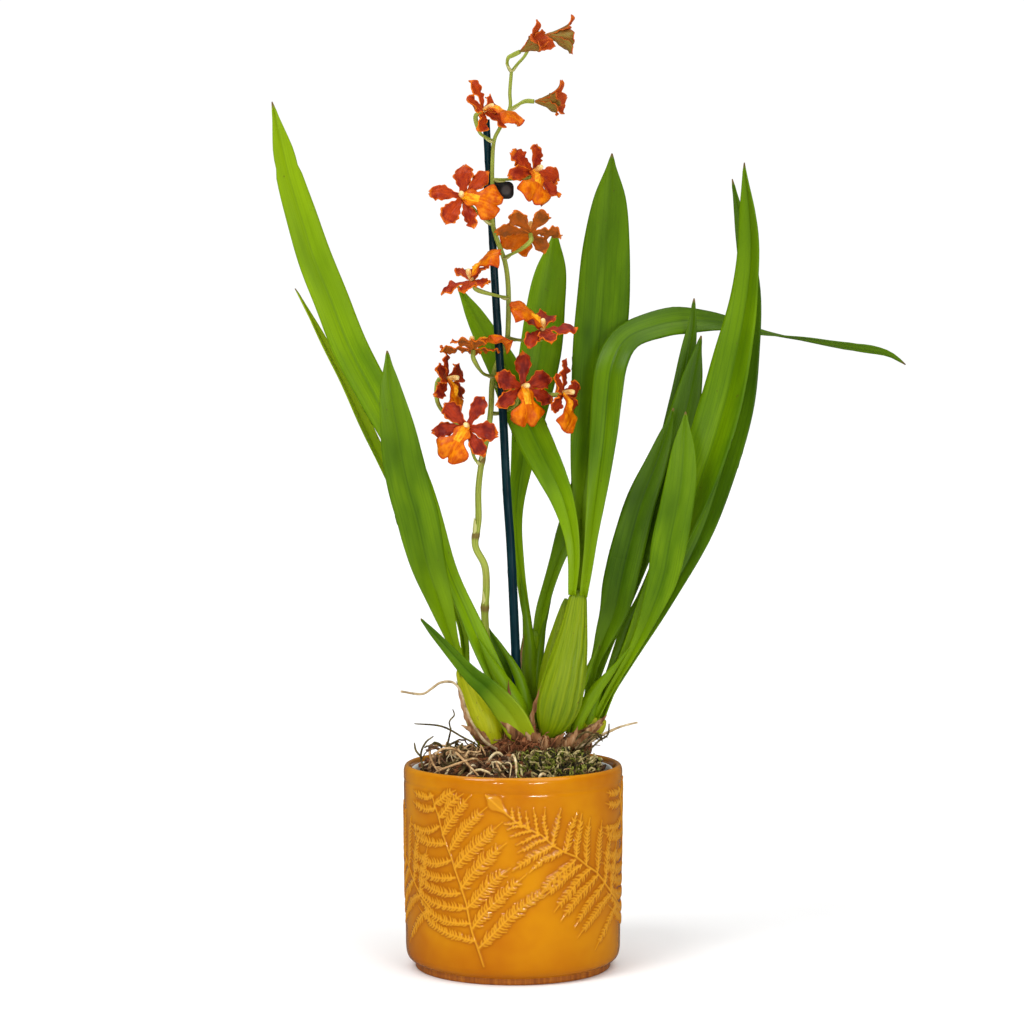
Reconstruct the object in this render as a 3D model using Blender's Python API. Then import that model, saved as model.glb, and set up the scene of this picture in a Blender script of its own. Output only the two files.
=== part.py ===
"""An oncidium orchid in its glazed cover pot, in metres, +Z up.

The origin is the centre of the pot's underside. +X is the plant's right and -Y its front.
Points along leaves, bulbs, stems and roots are in millimetres.
"""
import math
import random

import bmesh
import bpy
from mathutils import Matrix, Vector

MM = 0.001
GAP = 0.3

# Pot, in millimetres
POT_RADIUS = 70.0
POT_HEIGHT = 130.5
RIM_INNER_RADIUS = 65.7
FOOT_RADIUS = 62.6
FOOT_HEIGHT = 4.5
FLOOR_THICKNESS = 6.0
POT_SEGMENTS = 36

# Pressed fern fronds on the pot's wall
FROND_COPIES = 3
RELIEF_HEIGHT = 1.3
RELIEF_DEPTH = 0.9
PINNA_WIDTH = 5.6
WALL_TOP = (118.0, POT_RADIUS)
WALL_FOOT = (16.0, 68.8)

# Liner pot and the medium that fills it
LINER_OFFSET = -0.6
LINER_RIM_RADIUS = 64.6
LINER_BASE_RADIUS = 50.0
LINER_MID_RADIUS = 60.5
LINER_WALL = 1.2
LINER_TOP = 127.6
LINER_BOTTOM = FLOOR_THICKNESS + GAP
MEDIUM_EDGE = 125.0
MEDIUM_CROWN = 12.5
MEDIUM_RINGS = (14.0, 28.0, 41.0, 52.0)
MEDIUM_RADIUS = 60.0
CHIP_COUNT = 7
FILL_SEGMENTS = 24
HOLE_CLEARANCE = 0.9
MOSS_REACH = (32.0, 57.0)
MOSS_LIFT = 0.5
MOSS_EDGE = 0.9

# Plant
LEAF_THICKNESS = 1.2
TEPAL_THICKNESS = 0.8
LIP_THICKNESS = 0.9
LEAF_ROWS = 10
TIP_WIDTH = 1.5
HUB_RADIUS = 2.3
BULB_SIDES = 12
STALK_RADII = (1.05, 1.0, 1.0, 1.3, 1.5, 1.4)

# Sepals and petals round a bloom: direction in degrees, length, width
TEPALS = ((-30, 20.0, 8.6), (17, 18.5, 11.0), (90, 20.5, 9.0), (163, 18.5, 11.0), (210, 20.0, 8.6))
TEPAL_PROFILE = (0.36, 0.42, 0.72, 1.00, 0.84, 0.20)
OPEN_RISES = (14, -16)
HALF_OPEN_RISES = (70, 48)
HALF_OPEN_WIDTH = 0.56
CRISPING = 0.9
LIP_START = 0.8
LIP_LENGTH = 26.0
LIP_HALF_WIDTHS = (1.8, 5.0, 5.8, 10.8, 7.4)
LIP_RISE = (2.2, 5.0, 5.6, 4.2, 1.2)
CREST_HEIGHT = (0.0, 1.9, 0.8, 0.0, 0.0)
LIP_NOTCH = 2.6
COLUMN_HEIGHT = 8.0
COLUMN_RADII = (1.6, 1.7, 2.0, 1.3)


def clear_scene():
    for item in list(bpy.data.objects):
        bpy.data.objects.remove(item)


def material(name, colour, roughness, metallic=0.0):
    mat = bpy.data.materials.new(name)
    mat.use_nodes = True
    shader = mat.node_tree.nodes["Principled BSDF"]
    shader.inputs["Base Color"].default_value = (*colour, 1.0)
    shader.inputs["Roughness"].default_value = roughness
    shader.inputs["Metallic"].default_value = metallic
    mat.diffuse_color = (*colour, 1.0)
    return mat


def mesh_object(name, bm, mat):
    mesh = bpy.data.meshes.new(name)
    bm.to_mesh(mesh)
    bm.free()
    item = bpy.data.objects.new(name, mesh)
    bpy.context.scene.collection.objects.link(item)
    mesh.materials.append(mat)
    mesh.shade_smooth()
    mesh.set_sharp_from_angle(angle=math.radians(40))
    return item


def main_body(bm):
    """Drops loose scraps and fills sealed hollows: only the largest closed skin stays."""
    left = set(bm.faces)
    best = []
    while left:
        skin = [left.pop()]
        for face in skin:
            for edge in face.edges:
                for other in edge.link_faces:
                    if other in left:
                        left.discard(other)
                        skin.append(other)
        if len(skin) > len(best):
            best = skin
    keep = set(best)
    bmesh.ops.delete(bm, geom=[face for face in bm.faces if face not in keep], context='FACES')


def applied(item):
    """Puts what the modifiers make into the object's own mesh."""
    mesh = bpy.data.meshes.new_from_object(item.evaluated_get(bpy.context.evaluated_depsgraph_get()))
    item.modifiers.clear()
    item.data = mesh


def fuse(target, pieces, solver='EXACT'):
    """Joins the pieces to the target in one Boolean union on a collection."""
    group = bpy.data.collections.new(target.name + "_pieces")
    bpy.context.scene.collection.children.link(group)
    for piece in pieces:
        group.objects.link(piece)
    union = target.modifiers.new("union", 'BOOLEAN')
    union.operation = 'UNION'
    union.operand_type = 'COLLECTION'
    union.collection = group
    union.solver = solver
    applied(target)
    for piece in pieces:
        bpy.data.objects.remove(piece)
    bpy.data.collections.remove(group)
    tidy(target)


def cut(target, cutters, solver='EXACT'):
    """Cuts the cutters out of the target."""
    for cutter in cutters:
        difference = target.modifiers.new("cut", 'BOOLEAN')
        difference.operation = 'DIFFERENCE'
        difference.object = cutter
        difference.solver = solver
    applied(target)
    for cutter in cutters:
        bpy.data.objects.remove(cutter)
    tidy(target)


def tidy(item):
    bm = bmesh.new()
    bm.from_mesh(item.data)
    bmesh.ops.triangulate(bm, faces=bm.faces)
    main_body(bm)
    bm.to_mesh(item.data)
    bm.free()


class Path:
    """A smooth curve through the given points, read at a share of its length."""

    def __init__(self, points):
        knots = [Vector(point) for point in points]
        ends = [knots[0] * 2 - knots[1], *knots, knots[-1] * 2 - knots[-2]]
        self.dense = [knots[0]]
        for k in range(1, len(ends) - 2):
            for step in range(1, 9):
                self.dense.append(self.blend(ends[k - 1:k + 3], step / 8))
        self.reach = [0.0]
        for a, b in zip(self.dense, self.dense[1:]):
            self.reach.append(self.reach[-1] + (b - a).length)
        self.length = self.reach[-1]

    @staticmethod
    def blend(four, s):
        a, b, c, d = four
        return (b * 2 + (c - a) * s + (a * 2 - b * 5 + c * 4 - d) * s ** 2
                + (b * 3 - a - c * 3 + d) * s ** 3) / 2

    def at(self, share):
        goal = min(max(share, 0.0), 1.0) * self.length
        for k in range(1, len(self.reach)):
            if self.reach[k] >= goal:
                break
        span = self.reach[k] - self.reach[k - 1]
        return self.dense[k - 1].lerp(self.dense[k], (goal - self.reach[k - 1]) / span)

    def heading(self, share):
        return (self.at(share + 0.02) - self.at(share - 0.02)).normalized()


def along(values, share):
    """Reads a list of evenly spaced values at a share of its length."""
    place = min(max(share, 0.0), 1.0) * (len(values) - 1)
    k = min(int(place), len(values) - 2)
    s = place - k
    return values[k] * (1 - s) + values[k + 1] * s


def blade(name, rows, cols, place, thickness, mat):
    """A thin closed sheet; place(u, t) is its middle surface, u from -1 to 1 and t from 0 to 1."""
    bm = bmesh.new()
    bmesh.ops.create_grid(bm, x_segments=cols, y_segments=rows, size=1)
    for vert in bm.verts:
        vert.co = place(vert.co.x, (vert.co.y + 1) / 2) * MM
    bmesh.ops.triangulate(bm, faces=bm.faces)
    item = mesh_object(name, bm, mat)
    thicken = item.modifiers.new("thickness", 'SOLIDIFY')
    thicken.thickness = thickness * MM
    thicken.offset = 0
    return item


def tube(name, points, radii, sides, stations, mat, depth=1.0, ribs=0, rib_depth=0.0, across=(0, 1, 0)):
    """A closed tube along a smooth path; depth squeezes it in the across direction."""
    path = Path(points)
    bm = bmesh.new()
    rings = []
    for i in range(stations + 1):
        t = i / stations
        heading = path.heading(t)
        deep = Vector(across)
        deep = (deep - heading * deep.dot(heading)).normalized()
        wide = deep.cross(heading)
        ring = []
        for k in range(sides):
            turn = math.tau * k / sides
            radius = along(radii, t) * (1 + rib_depth * math.cos(ribs * turn) * math.sin(math.pi * t))
            spot = path.at(t) + wide * math.cos(turn) * radius + deep * math.sin(turn) * radius * depth
            ring.append(bm.verts.new(spot * MM))
        rings.append(ring)
    for a, b in zip(rings, rings[1:]):
        for k in range(sides):
            n = (k + 1) % sides
            bm.faces.new((a[k], a[n], b[n], b[k]))
    bm.faces.new(rings[0])
    bm.faces.new(rings[-1])
    bmesh.ops.recalc_face_normals(bm, faces=bm.faces)
    return mesh_object(name, bm, mat)


def turned(name, profile, segments, mat, centre_x=0.0):
    """A closed solid of revolution from a profile of (radius, height) that starts and ends on the axis."""
    bm = bmesh.new()
    verts = [bm.verts.new(Vector((radius, 0, height)) * MM) for radius, height in profile]
    edges = [bm.edges.new(pair) for pair in zip(verts, verts[1:])]
    bmesh.ops.spin(bm, geom=verts + edges, cent=(0, 0, 0), axis=(0, 0, 1), angle=math.tau,
                   steps=segments, use_merge=True)
    bmesh.ops.remove_doubles(bm, verts=bm.verts, dist=0.01 * MM)
    bmesh.ops.translate(bm, verts=bm.verts, vec=(centre_x * MM, 0, 0))
    bmesh.ops.recalc_face_normals(bm, faces=bm.faces)
    return mesh_object(name, bm, mat)


# The cover pot: a turned body with pressed fern fronds

# Rachis and leaflet tips of the two fronds as (degrees round the wall from the front, height)
STEEP_RACHIS = ((-46, 115), (-42, 106), (-39, 92), (-33, 80), (-28, 64), (-24, 49), (-22, 32), (-18, 23),
                (-15, 14))
STEEP_LEFT = ((-64, 116), (-66, 102), (-67, 88), (-66, 74), (-62, 57), (-54, 38))
STEEP_RIGHT = ((-28, 120), (-20, 116), (-10, 107), (-4, 90), (2, 69), (12, 46))
FLAT_RACHIS = ((-13, 117), (-4, 108), (5, 102), (17, 93), (34, 81), (47, 69), (62, 53))
FLAT_TOP = ((2, 118), (14, 116), (26, 113), (38, 109), (50, 103), (62, 94))
FLAT_LOW = ((-1, 91), (8, 71), (17, 54), (27, 40), (38, 29), (50, 19))


def wall_point(degrees, height, out):
    slope = (WALL_TOP[1] - WALL_FOOT[1]) / (WALL_TOP[0] - WALL_FOOT[0])
    radius = WALL_FOOT[1] + (height - WALL_FOOT[0]) * slope + out
    turn = math.radians(degrees)
    return Vector((radius * math.sin(turn), -radius * math.cos(turn), height))


def ridge(name, start, end, width, mat):
    """A leaflet pressed out of the wall: a low three-sided spindle, half sunk in it."""
    middle = ((start[0] + end[0]) / 2, (start[1] + end[1]) / 2 + 1.5)
    run = wall_point(*end, 0) - wall_point(*start, 0)
    out = wall_point(*middle, 1) - wall_point(*middle, 0)
    side = run.cross(out).normalized() * width / 2
    bm = bmesh.new()
    root = bm.verts.new(wall_point(*start, -0.2) * MM)
    tip = bm.verts.new(wall_point(*end, -0.3) * MM)
    crest = bm.verts.new(wall_point(*middle, RELIEF_HEIGHT) * MM)
    left = bm.verts.new((wall_point(*middle, -RELIEF_DEPTH) + side) * MM)
    right = bm.verts.new((wall_point(*middle, -RELIEF_DEPTH) - side) * MM)
    belt = (crest, left, right)
    for a, b in zip(belt, belt[1:] + belt[:1]):
        bm.faces.new((root, a, b))
        bm.faces.new((tip, b, a))
    bmesh.ops.recalc_face_normals(bm, faces=bm.faces)
    return mesh_object(name, bm, mat)


def frond(name, rachis, tip_rows, turn, mat):
    """A rachis with a row of leaflets on each side, turned round the pot by the given angle."""
    spine = [wall_point(degrees + turn, height, 0.1) for degrees, height in rachis]
    thick = (1.5, 1.7, 1.5, 1.2, 0.9)
    pieces = [tube(name + "_rachis", spine, thick, 4, 9, mat, across=(0, 0, 1))]
    path = Path([(degrees, height, 0) for degrees, height in rachis])
    for tips in tip_rows:
        for k, (degrees, height) in enumerate(tips):
            root = path.at((k + 0.4) / len(tips) * 0.92)
            start = (root.x + turn, root.y)
            pieces.append(ridge(f"{name}_leaflet", start, (degrees + turn, height), PINNA_WIDTH, mat))
    return pieces


def cover_pot():
    glaze = material("glaze", (0.66, 0.25, 0.01), 0.18)
    corner = [(FOOT_RADIUS + 1.2, FOOT_HEIGHT), (67.0, 7.0), (68.4, 10.5)]
    outside = [(0, 0), (FOOT_RADIUS, 0), (FOOT_RADIUS, FOOT_HEIGHT), *corner, (68.9, 22)]
    rim = [(POT_RADIUS, 126.5), (69.5, 129.0), (68.2, POT_HEIGHT), (66.6, 130.2), (RIM_INNER_RADIUS, 128.4)]
    inside = [(RIM_INNER_RADIUS, 112), (64.0, 40), (58.0, FLOOR_THICKNESS), (0, FLOOR_THICKNESS)]
    pot = turned("pot", outside + rim + inside, POT_SEGMENTS, glaze)
    pieces = []
    for copy in range(FROND_COPIES):
        turn = 360 * copy / FROND_COPIES
        pieces += frond("steep", STEEP_RACHIS, (STEEP_LEFT, STEEP_RIGHT), turn, glaze)
        pieces += frond("flat", FLAT_RACHIS, (FLAT_TOP, FLAT_LOW), turn, glaze)
    fuse(pot, pieces)


def liner_pot():
    plastic = material("liner_plastic", (0.72, 0.70, 0.64), 0.45)
    floor = LINER_BOTTOM + LINER_WALL
    outer = [(0, LINER_BOTTOM), (LINER_BASE_RADIUS, LINER_BOTTOM), (LINER_MID_RADIUS, 100)]
    outer += [(62.6, 118), (62.8, 124)]
    rim = [(LINER_RIM_RADIUS, 124.6), (LINER_RIM_RADIUS, LINER_TOP), (63.2, LINER_TOP), (61.6, 124)]
    inner = [(61.4, 118), (LINER_MID_RADIUS - LINER_WALL, 100), (LINER_BASE_RADIUS - 1.3, floor), (0, floor)]
    turned("liner_pot", outer + rim + inner, FILL_SEGMENTS, plastic, LINER_OFFSET)


# The growing medium: a mound of bark in the liner, with chips, dry roots and straw sunk in it

def mound_height(x, y):
    reach = min(math.hypot(x, y) / 61.0, 1.0)
    rough = math.sin(x * 0.21 + 1.3) * math.cos(y * 0.19) * 1.1
    return MEDIUM_EDGE + MEDIUM_CROWN * (1 - reach ** 2.4) + rough * (1 - reach)


def medium_body(mat):
    rings = [(radius, None) for radius in (*MEDIUM_RINGS, MEDIUM_RADIUS)]
    rings += [(MEDIUM_RADIUS, 118.0), (LINER_MID_RADIUS - LINER_WALL - GAP, 100.0)]
    rings += [(LINER_BASE_RADIUS - 1.6, LINER_BOTTOM + LINER_WALL + GAP)]
    bm = bmesh.new()
    loops = []
    for radius, height in rings:
        loop = []
        for k in range(FILL_SEGMENTS):
            turn = math.tau * k / FILL_SEGMENTS
            x = radius * math.cos(turn)
            y = radius * math.sin(turn)
            z = mound_height(x, y) if height is None else height
            loop.append(bm.verts.new(Vector((x + LINER_OFFSET, y, z)) * MM))
        loops.append(loop)
    top = bm.verts.new(Vector((LINER_OFFSET, 0, mound_height(0, 0))) * MM)
    for k in range(FILL_SEGMENTS):
        n = (k + 1) % FILL_SEGMENTS
        bm.faces.new((top, loops[0][k], loops[0][n]))
        for a, b in zip(loops, loops[1:]):
            bm.faces.new((a[k], b[k], b[n], a[n]))
    bm.faces.new(reversed(loops[-1]))
    bmesh.ops.recalc_face_normals(bm, faces=bm.faces)
    return mesh_object("growing_medium", bm, mat)


def chip(place, size, turn, mat):
    bm = bmesh.new()
    bmesh.ops.create_cube(bm, size=1)
    bmesh.ops.scale(bm, vec=Vector(size) * MM, verts=bm.verts)
    spin = Matrix.Rotation(turn, 4, 'Z') @ Matrix.Rotation(0.5 * math.sin(turn * 3), 4, 'X')
    bmesh.ops.transform(bm, matrix=Matrix.Translation(Vector(place) * MM) @ spin, verts=bm.verts)
    return mesh_object("chip", bm, mat)


def bark_chips(mat):
    """Chips over the open part of the mound, clear of the plant and the moss."""
    chance = random.Random(7)
    chips = []
    while len(chips) < CHIP_COUNT:
        turn = chance.uniform(0, math.tau)
        reach = chance.uniform(24, 53)
        x = reach * math.cos(turn)
        y = reach * math.sin(turn)
        in_moss = x > 0 and y < -16
        in_roots = x < -14 and y < -4
        under_plant = -18 < x < 66 and -26 < y < 27
        if in_moss or in_roots or under_plant:
            continue
        size = (chance.uniform(9, 15), chance.uniform(5, 9), chance.uniform(3, 5))
        chips.append(chip((x, y, mound_height(x, y) + 0.6), size, chance.uniform(0, math.tau), mat))
    return chips


DRY_ROOTS = (
    ((-24, -24, 134), (-33, -30, 142), (-44, -33, 144), (-52, -29, 136), (-53, -24, 128)),
    ((-20, -30, 134), (-24, -42, 139), (-34, -49, 137), (-45, -42, 132), (-50, -33, 128)),
    ((-30, -12, 134), (-42, -14, 143), (-52, -22, 143), (-51, -33, 136), (-45, -39, 128)),
    ((-18, -24, 134), (-21, -26, 144), (-32, -29, 151), (-45, -31, 158), (-62, -34, 160)),
    ((-4, -32, 134), (-10, -44, 137), (-8, -53, 133), (-3, -55, 127)),
    ((-26, -36, 133), (-36, -41, 143), (-30, -48, 138), (-20, -52, 128)),
    ((-38, 20, 131), (-44, 30, 135), (-34, 40, 135), (-22, 46, 127)),
)
STRAW = ((-2, -27, 134), (0, -40, 141), (2, -51, 137), (2, -56, 128))


def growing_medium(cutters):
    bark = material("growing_medium", (0.16, 0.08, 0.035), 0.9)
    body = medium_body(bark)
    pieces = bark_chips(bark)
    for points in DRY_ROOTS:
        pieces.append(tube("dry_root", points, (1.4, 1.3, 1.0), 4, 5, bark))
    pieces.append(tube("straw", STRAW, (0.9, 0.8), 4, 5, bark))
    fuse(body, pieces, 'MANIFOLD')
    cut(body, cutters, 'MANIFOLD')


def moss():
    """A cushion over the front and right of the mound, its underside following the mound."""
    green = material("moss", (0.22, 0.30, 0.05), 0.95)
    chance = random.Random(11)

    def spot(u, t, top):
        turn = math.radians(-82 + 26 * (u + 1))
        reach = MOSS_REACH[0] + (MOSS_REACH[1] - MOSS_REACH[0]) * t
        x = reach * math.cos(turn)
        y = reach * math.sin(turn)
        edge = max(abs(u), abs(2 * t - 1))
        tuft = (3.4 + chance.uniform(-1.6, 1.6)) * (1 - edge ** 6) if top else 0.0
        return Vector((x, y, mound_height(x, y) + MOSS_LIFT + MOSS_EDGE * top + tuft)) * MM

    bm = bmesh.new()
    rows = 4
    cols = 9
    levels = []
    for top in (0, 1):
        grid = []
        for i in range(rows + 1):
            grid.append([bm.verts.new(spot(2 * k / cols - 1, i / rows, top)) for k in range(cols + 1)])
        levels.append(grid)
    low, high = levels
    for grid in levels:
        for i in range(rows):
            for k in range(cols):
                bm.faces.new((grid[i][k], grid[i][k + 1], grid[i + 1][k + 1], grid[i + 1][k]))
    loop = [(0, k) for k in range(cols)] + [(i, cols) for i in range(rows)]
    loop += [(rows, k) for k in range(cols, 0, -1)] + [(i, 0) for i in range(rows, 0, -1)]
    for (a, b), (c, d) in zip(loop, loop[1:] + loop[:1]):
        bm.faces.new((low[a][b], low[c][d], high[c][d], high[a][b]))
    bmesh.ops.recalc_face_normals(bm, faces=bm.faces)
    return mesh_object("moss", bm, green)


# Rhizome and pseudobulbs

RHIZOME = ((-17, -4, 139.5), (-10, -8, 141), (0, -12, 142.5), (12, -14, 143), (24, -12, 142), (36, -4, 141),
           (48, 4, 141))
RHIZOME_RADII = (4.0, 5.6, 6.0, 6.0, 6.0, 5.6, 5.2)
RHIZOME_BRANCH = ((20, -12, 142), (19, 2, 142), (13, 12, 142), (14, 22, 142))
BRANCH_RADII = (5.4, 5.2, 4.8)
BRACT_WIDTHS = (9, 11, 11, 9, 6, TIP_WIDTH)
BRACTS = (
    ((29, -11, 143), (34, -12.5, 145.5), (41, -12.5, 149), (50, -10, 153), (58, -7, 157)),
    ((38, -7, 143), (45, -9, 148), (53, -7, 155), (60, -4, 162)),
)


def rhizome():
    brown = material("rhizome", (0.24, 0.09, 0.035), 0.8)
    body = tube("rhizome", RHIZOME, RHIZOME_RADII, 8, 11, brown, ribs=4, rib_depth=0.06)
    pieces = [tube("branch", RHIZOME_BRANCH, BRANCH_RADII, 8, 5, brown)]
    for points in BRACTS:
        pieces.append(leaf("bract", points, BRACT_WIDTHS, ((0, -1, 0.3), (0.2, -1, 0.1)), (25, 12), brown, 4))
    fuse(body, pieces, 'MANIFOLD')


def bulb(name, axis, radii, depth, ribs, mat):
    return tube(name, axis, radii, BULB_SIDES, 7, mat, depth, ribs, 0.05)


def pseudobulbs():
    young = material("bulb_yellow_green", (0.36, 0.47, 0.04), 0.45)
    old = material("bulb_green", (0.22, 0.36, 0.03), 0.5)
    bulb("bulb_left", ((-12.9, -3.5, 146), (-19, -3, 158), (-27, -3, 175), (-33, -2, 192)),
         (4.0, 8.5, 11.0, 11.2, 9.5, 7.0, 4.5), 0.72, 7, young)
    bulb("bulb_front", ((21.5, -14.8, 148.6), (26, -19, 163), (31, -20, 190), (36, -18, 216), (41, -14, 243)),
         (5.0, 11.0, 14.0, 14.6, 13.8, 12.4, 10.6, 8.4, 5.6), 0.62, 7, old)
    bulb("bulb_middle", ((18.9, 3, 147.5), (23, 3.5, 165), (28, 4, 198), (34, 4, 236)),
         (3.5, 8.0, 9.4, 9.0, 8.0, 6.5, 3.5), 0.62, 7, old)
    bulb("bulb_new", ((14, 21, 147.2), (13, 21, 165), (12, 20, 190), (13, 20, 214)),
         (4.0, 7.5, 8.4, 8.4, 8.0, 7.4, 6.0), 0.75, 6, young)
    bulb("bulb_right", ((46, 3.5, 147.5), (47.5, 5, 152), (50, 6.5, 156), (51, 7, 160)),
         (6.0, 8.6, 9.6, 10.0, 9.8, 9.0), 0.95, 5, young)


# Leaves: spine points, widths evenly spaced from base to tip, the way the upper side faces

def leaf(name, points, widths, faces, folds, mat, rows=LEAF_ROWS):
    """A folded blade; the fold is in degrees at the base and at the tip."""
    path = Path(points)
    looks = [Vector(face).normalized() for face in faces]

    def place(u, t):
        heading = path.heading(t)
        look = along(looks, t)
        look = (look - heading * look.dot(heading)).normalized()
        side = heading.cross(look)
        half = along(widths, t) / 2
        fold = math.radians(folds[0] + (folds[1] - folds[0]) * min(1.0, t * 2.2))
        return path.at(t) + side * u * half * math.cos(fold) + look * abs(u) * half * math.sin(fold)

    return blade(name, rows, 2, place, LEAF_THICKNESS, mat)


def left_leaves():
    bright = material("leaf_bright", (0.30, 0.42, 0.03), 0.4)
    green = material("leaf_left", (0.18, 0.33, 0.02), 0.4)
    leaf("leaf_left_tall",
         ((4, -9.5, 149.4), (1, -7, 160), (-4, -6, 172), (-12, -6, 189), (-20, -5, 206), (-30, -4, 229),
          (-41, 0, 254), (-51, 6, 285), (-61, 12, 310), (-74, 20, 336), (-91, 30, 368), (-107, 38, 398),
          (-119, 46, 428), (-130, 52, 455), (-139, 57, 483), (-147, 60, 509), (-153, 62, 535),
          (-158, 62, 558)),
         (11, 14, 14, 9, 12, 16, 20, 24, 25, 25, 24, 21, 15, TIP_WIDTH),
         ((0.3, -1, 0.2), (0.3, -1, 0.3), (0.35, -1, 0.2), (0.3, -1, 0.15)), (22, 14), bright, 17)
    leaf("leaf_left_front",
         ((-33.4, -5.8, 192.3), (-39, -10, 210), (-47, -15, 236), (-54, -20, 259), (-60, -28, 288),
          (-65, -33, 307), (-69, -38, 326), (-72, -42, 345), (-76, -46, 370), (-78, -48, 394)),
         (5.5, 8, 16, 22, 26, 28, 28, 26, 21, 13, TIP_WIDTH),
         ((0.4, -1, 0.3), (0.2, -1, 0.1), (0.1, -1, 0)), (40, 16), green)
    leaf("leaf_left_narrow",
         ((-30.9, 1.7, 192.6), (-33, 9, 214), (-42, 20, 239), (-56, 30, 269), (-73, 38, 298), (-88, 45, 326),
          (-106, 52, 363), (-118, 56, 387), (-132, 60, 414), (-143, 62, 436)),
         (5, 7, 10, 12, 13, 14, 14, 13, 11, 7, TIP_WIDTH),
         ((0.5, -1, 0.3), (0.7, -0.6, 0.5), (0.75, -0.4, 0.5)), (45, 24), green)


def centre_leaves():
    green = material("leaf_centre", (0.17, 0.35, 0.01), 0.38)
    deep = material("leaf_back", (0.13, 0.27, 0.02), 0.42)
    leaf("leaf_centre_folded",
         ((38, -17.3, 244.4), (39, -18.5, 262), (37, -17.5, 281), (32, -12, 300), (26, -6, 314), (18, 0, 330),
          (10, 5, 347), (3, 9, 363), (-5, 15, 382), (-15, 20, 400), (-25, 24, 418), (-36, 28, 437)),
         (4.6, 8, 13, 18, 22, 24, 24, 22, 18, 12, TIP_WIDTH),
         ((-0.3, -1, 0), (-0.3, -1, 0.2), (-0.2, -1, 0.3)), (40, 20), green)
    leaf("leaf_centre_tall",
         ((41.3, -11.2, 243.4), (42, -10.5, 265), (43, -8, 287), (46, -3, 312), (49, 3, 337), (52, 9, 363),
          (55, 16, 395), (58, 22, 427), (60, 27, 459), (62.5, 31, 492), (64, 33, 522)),
         (6, 11, 16, 24, 29, 33, 35, 34, 30, 21, TIP_WIDTH),
         ((0.1, -1, 0), (0.1, -1, 0.1), (0, -1, 0.15)), (38, 10), green)
    leaf("leaf_arching",
         ((45, -17, 243.1), (48, -20, 265), (51, -18, 290), (55, -14, 319), (58, -10, 344), (60, -7, 366),
          (63, -4, 386), (72, 3, 402), (90, 13, 410), (110, 25, 414), (135, 37, 413), (160, 45, 407),
          (202, 52, 400), (242, 56, 394), (258, 57, 386)),
         (4.6, 8, 13, 17, 20, 22, 22, 22, 22, 21, 19, 15, 10, TIP_WIDTH),
         ((0, -1, 0), (0, -1, 0), (-0.2, -1, 0.2), (-0.3, -0.8, 0.5), (0, -0.8, 0.5), (0, -0.3, 1),
          (0, 0.25, 1), (0, 0.7, 0.8)), (40, 10), green, 20)
    leaf("leaf_back_centre",
         ((10.2, 20.2, 214.8), (7, 22, 234), (4, 24, 257), (2, 27, 279), (3, 31, 301), (7, 37, 330),
          (12, 44, 363), (18, 49, 395), (22, 54, 428), (26, 57, 454), (28, 59, 475)),
         (4.5, 6, 8, 9, 14, 20, 26, 28, 26, 20, TIP_WIDTH),
         ((0, -1, 0), (0.1, -1, 0.1), (0, -1, 0.2)), (40, 12), green)
    leaf("leaf_back_low",
         ((16.2, 19.8, 214.3), (21, 24, 234), (27, 30, 253), (34, 37, 272), (44, 44, 297), (52, 51, 323),
          (59, 56, 349), (65, 60, 372)),
         (4.5, 8, 9, 11, 15, 18, 19, 18, 14, 9, TIP_WIDTH),
         ((-0.3, -1, 0.1), (-0.2, -1, 0.3)), (40, 16), deep)


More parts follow.
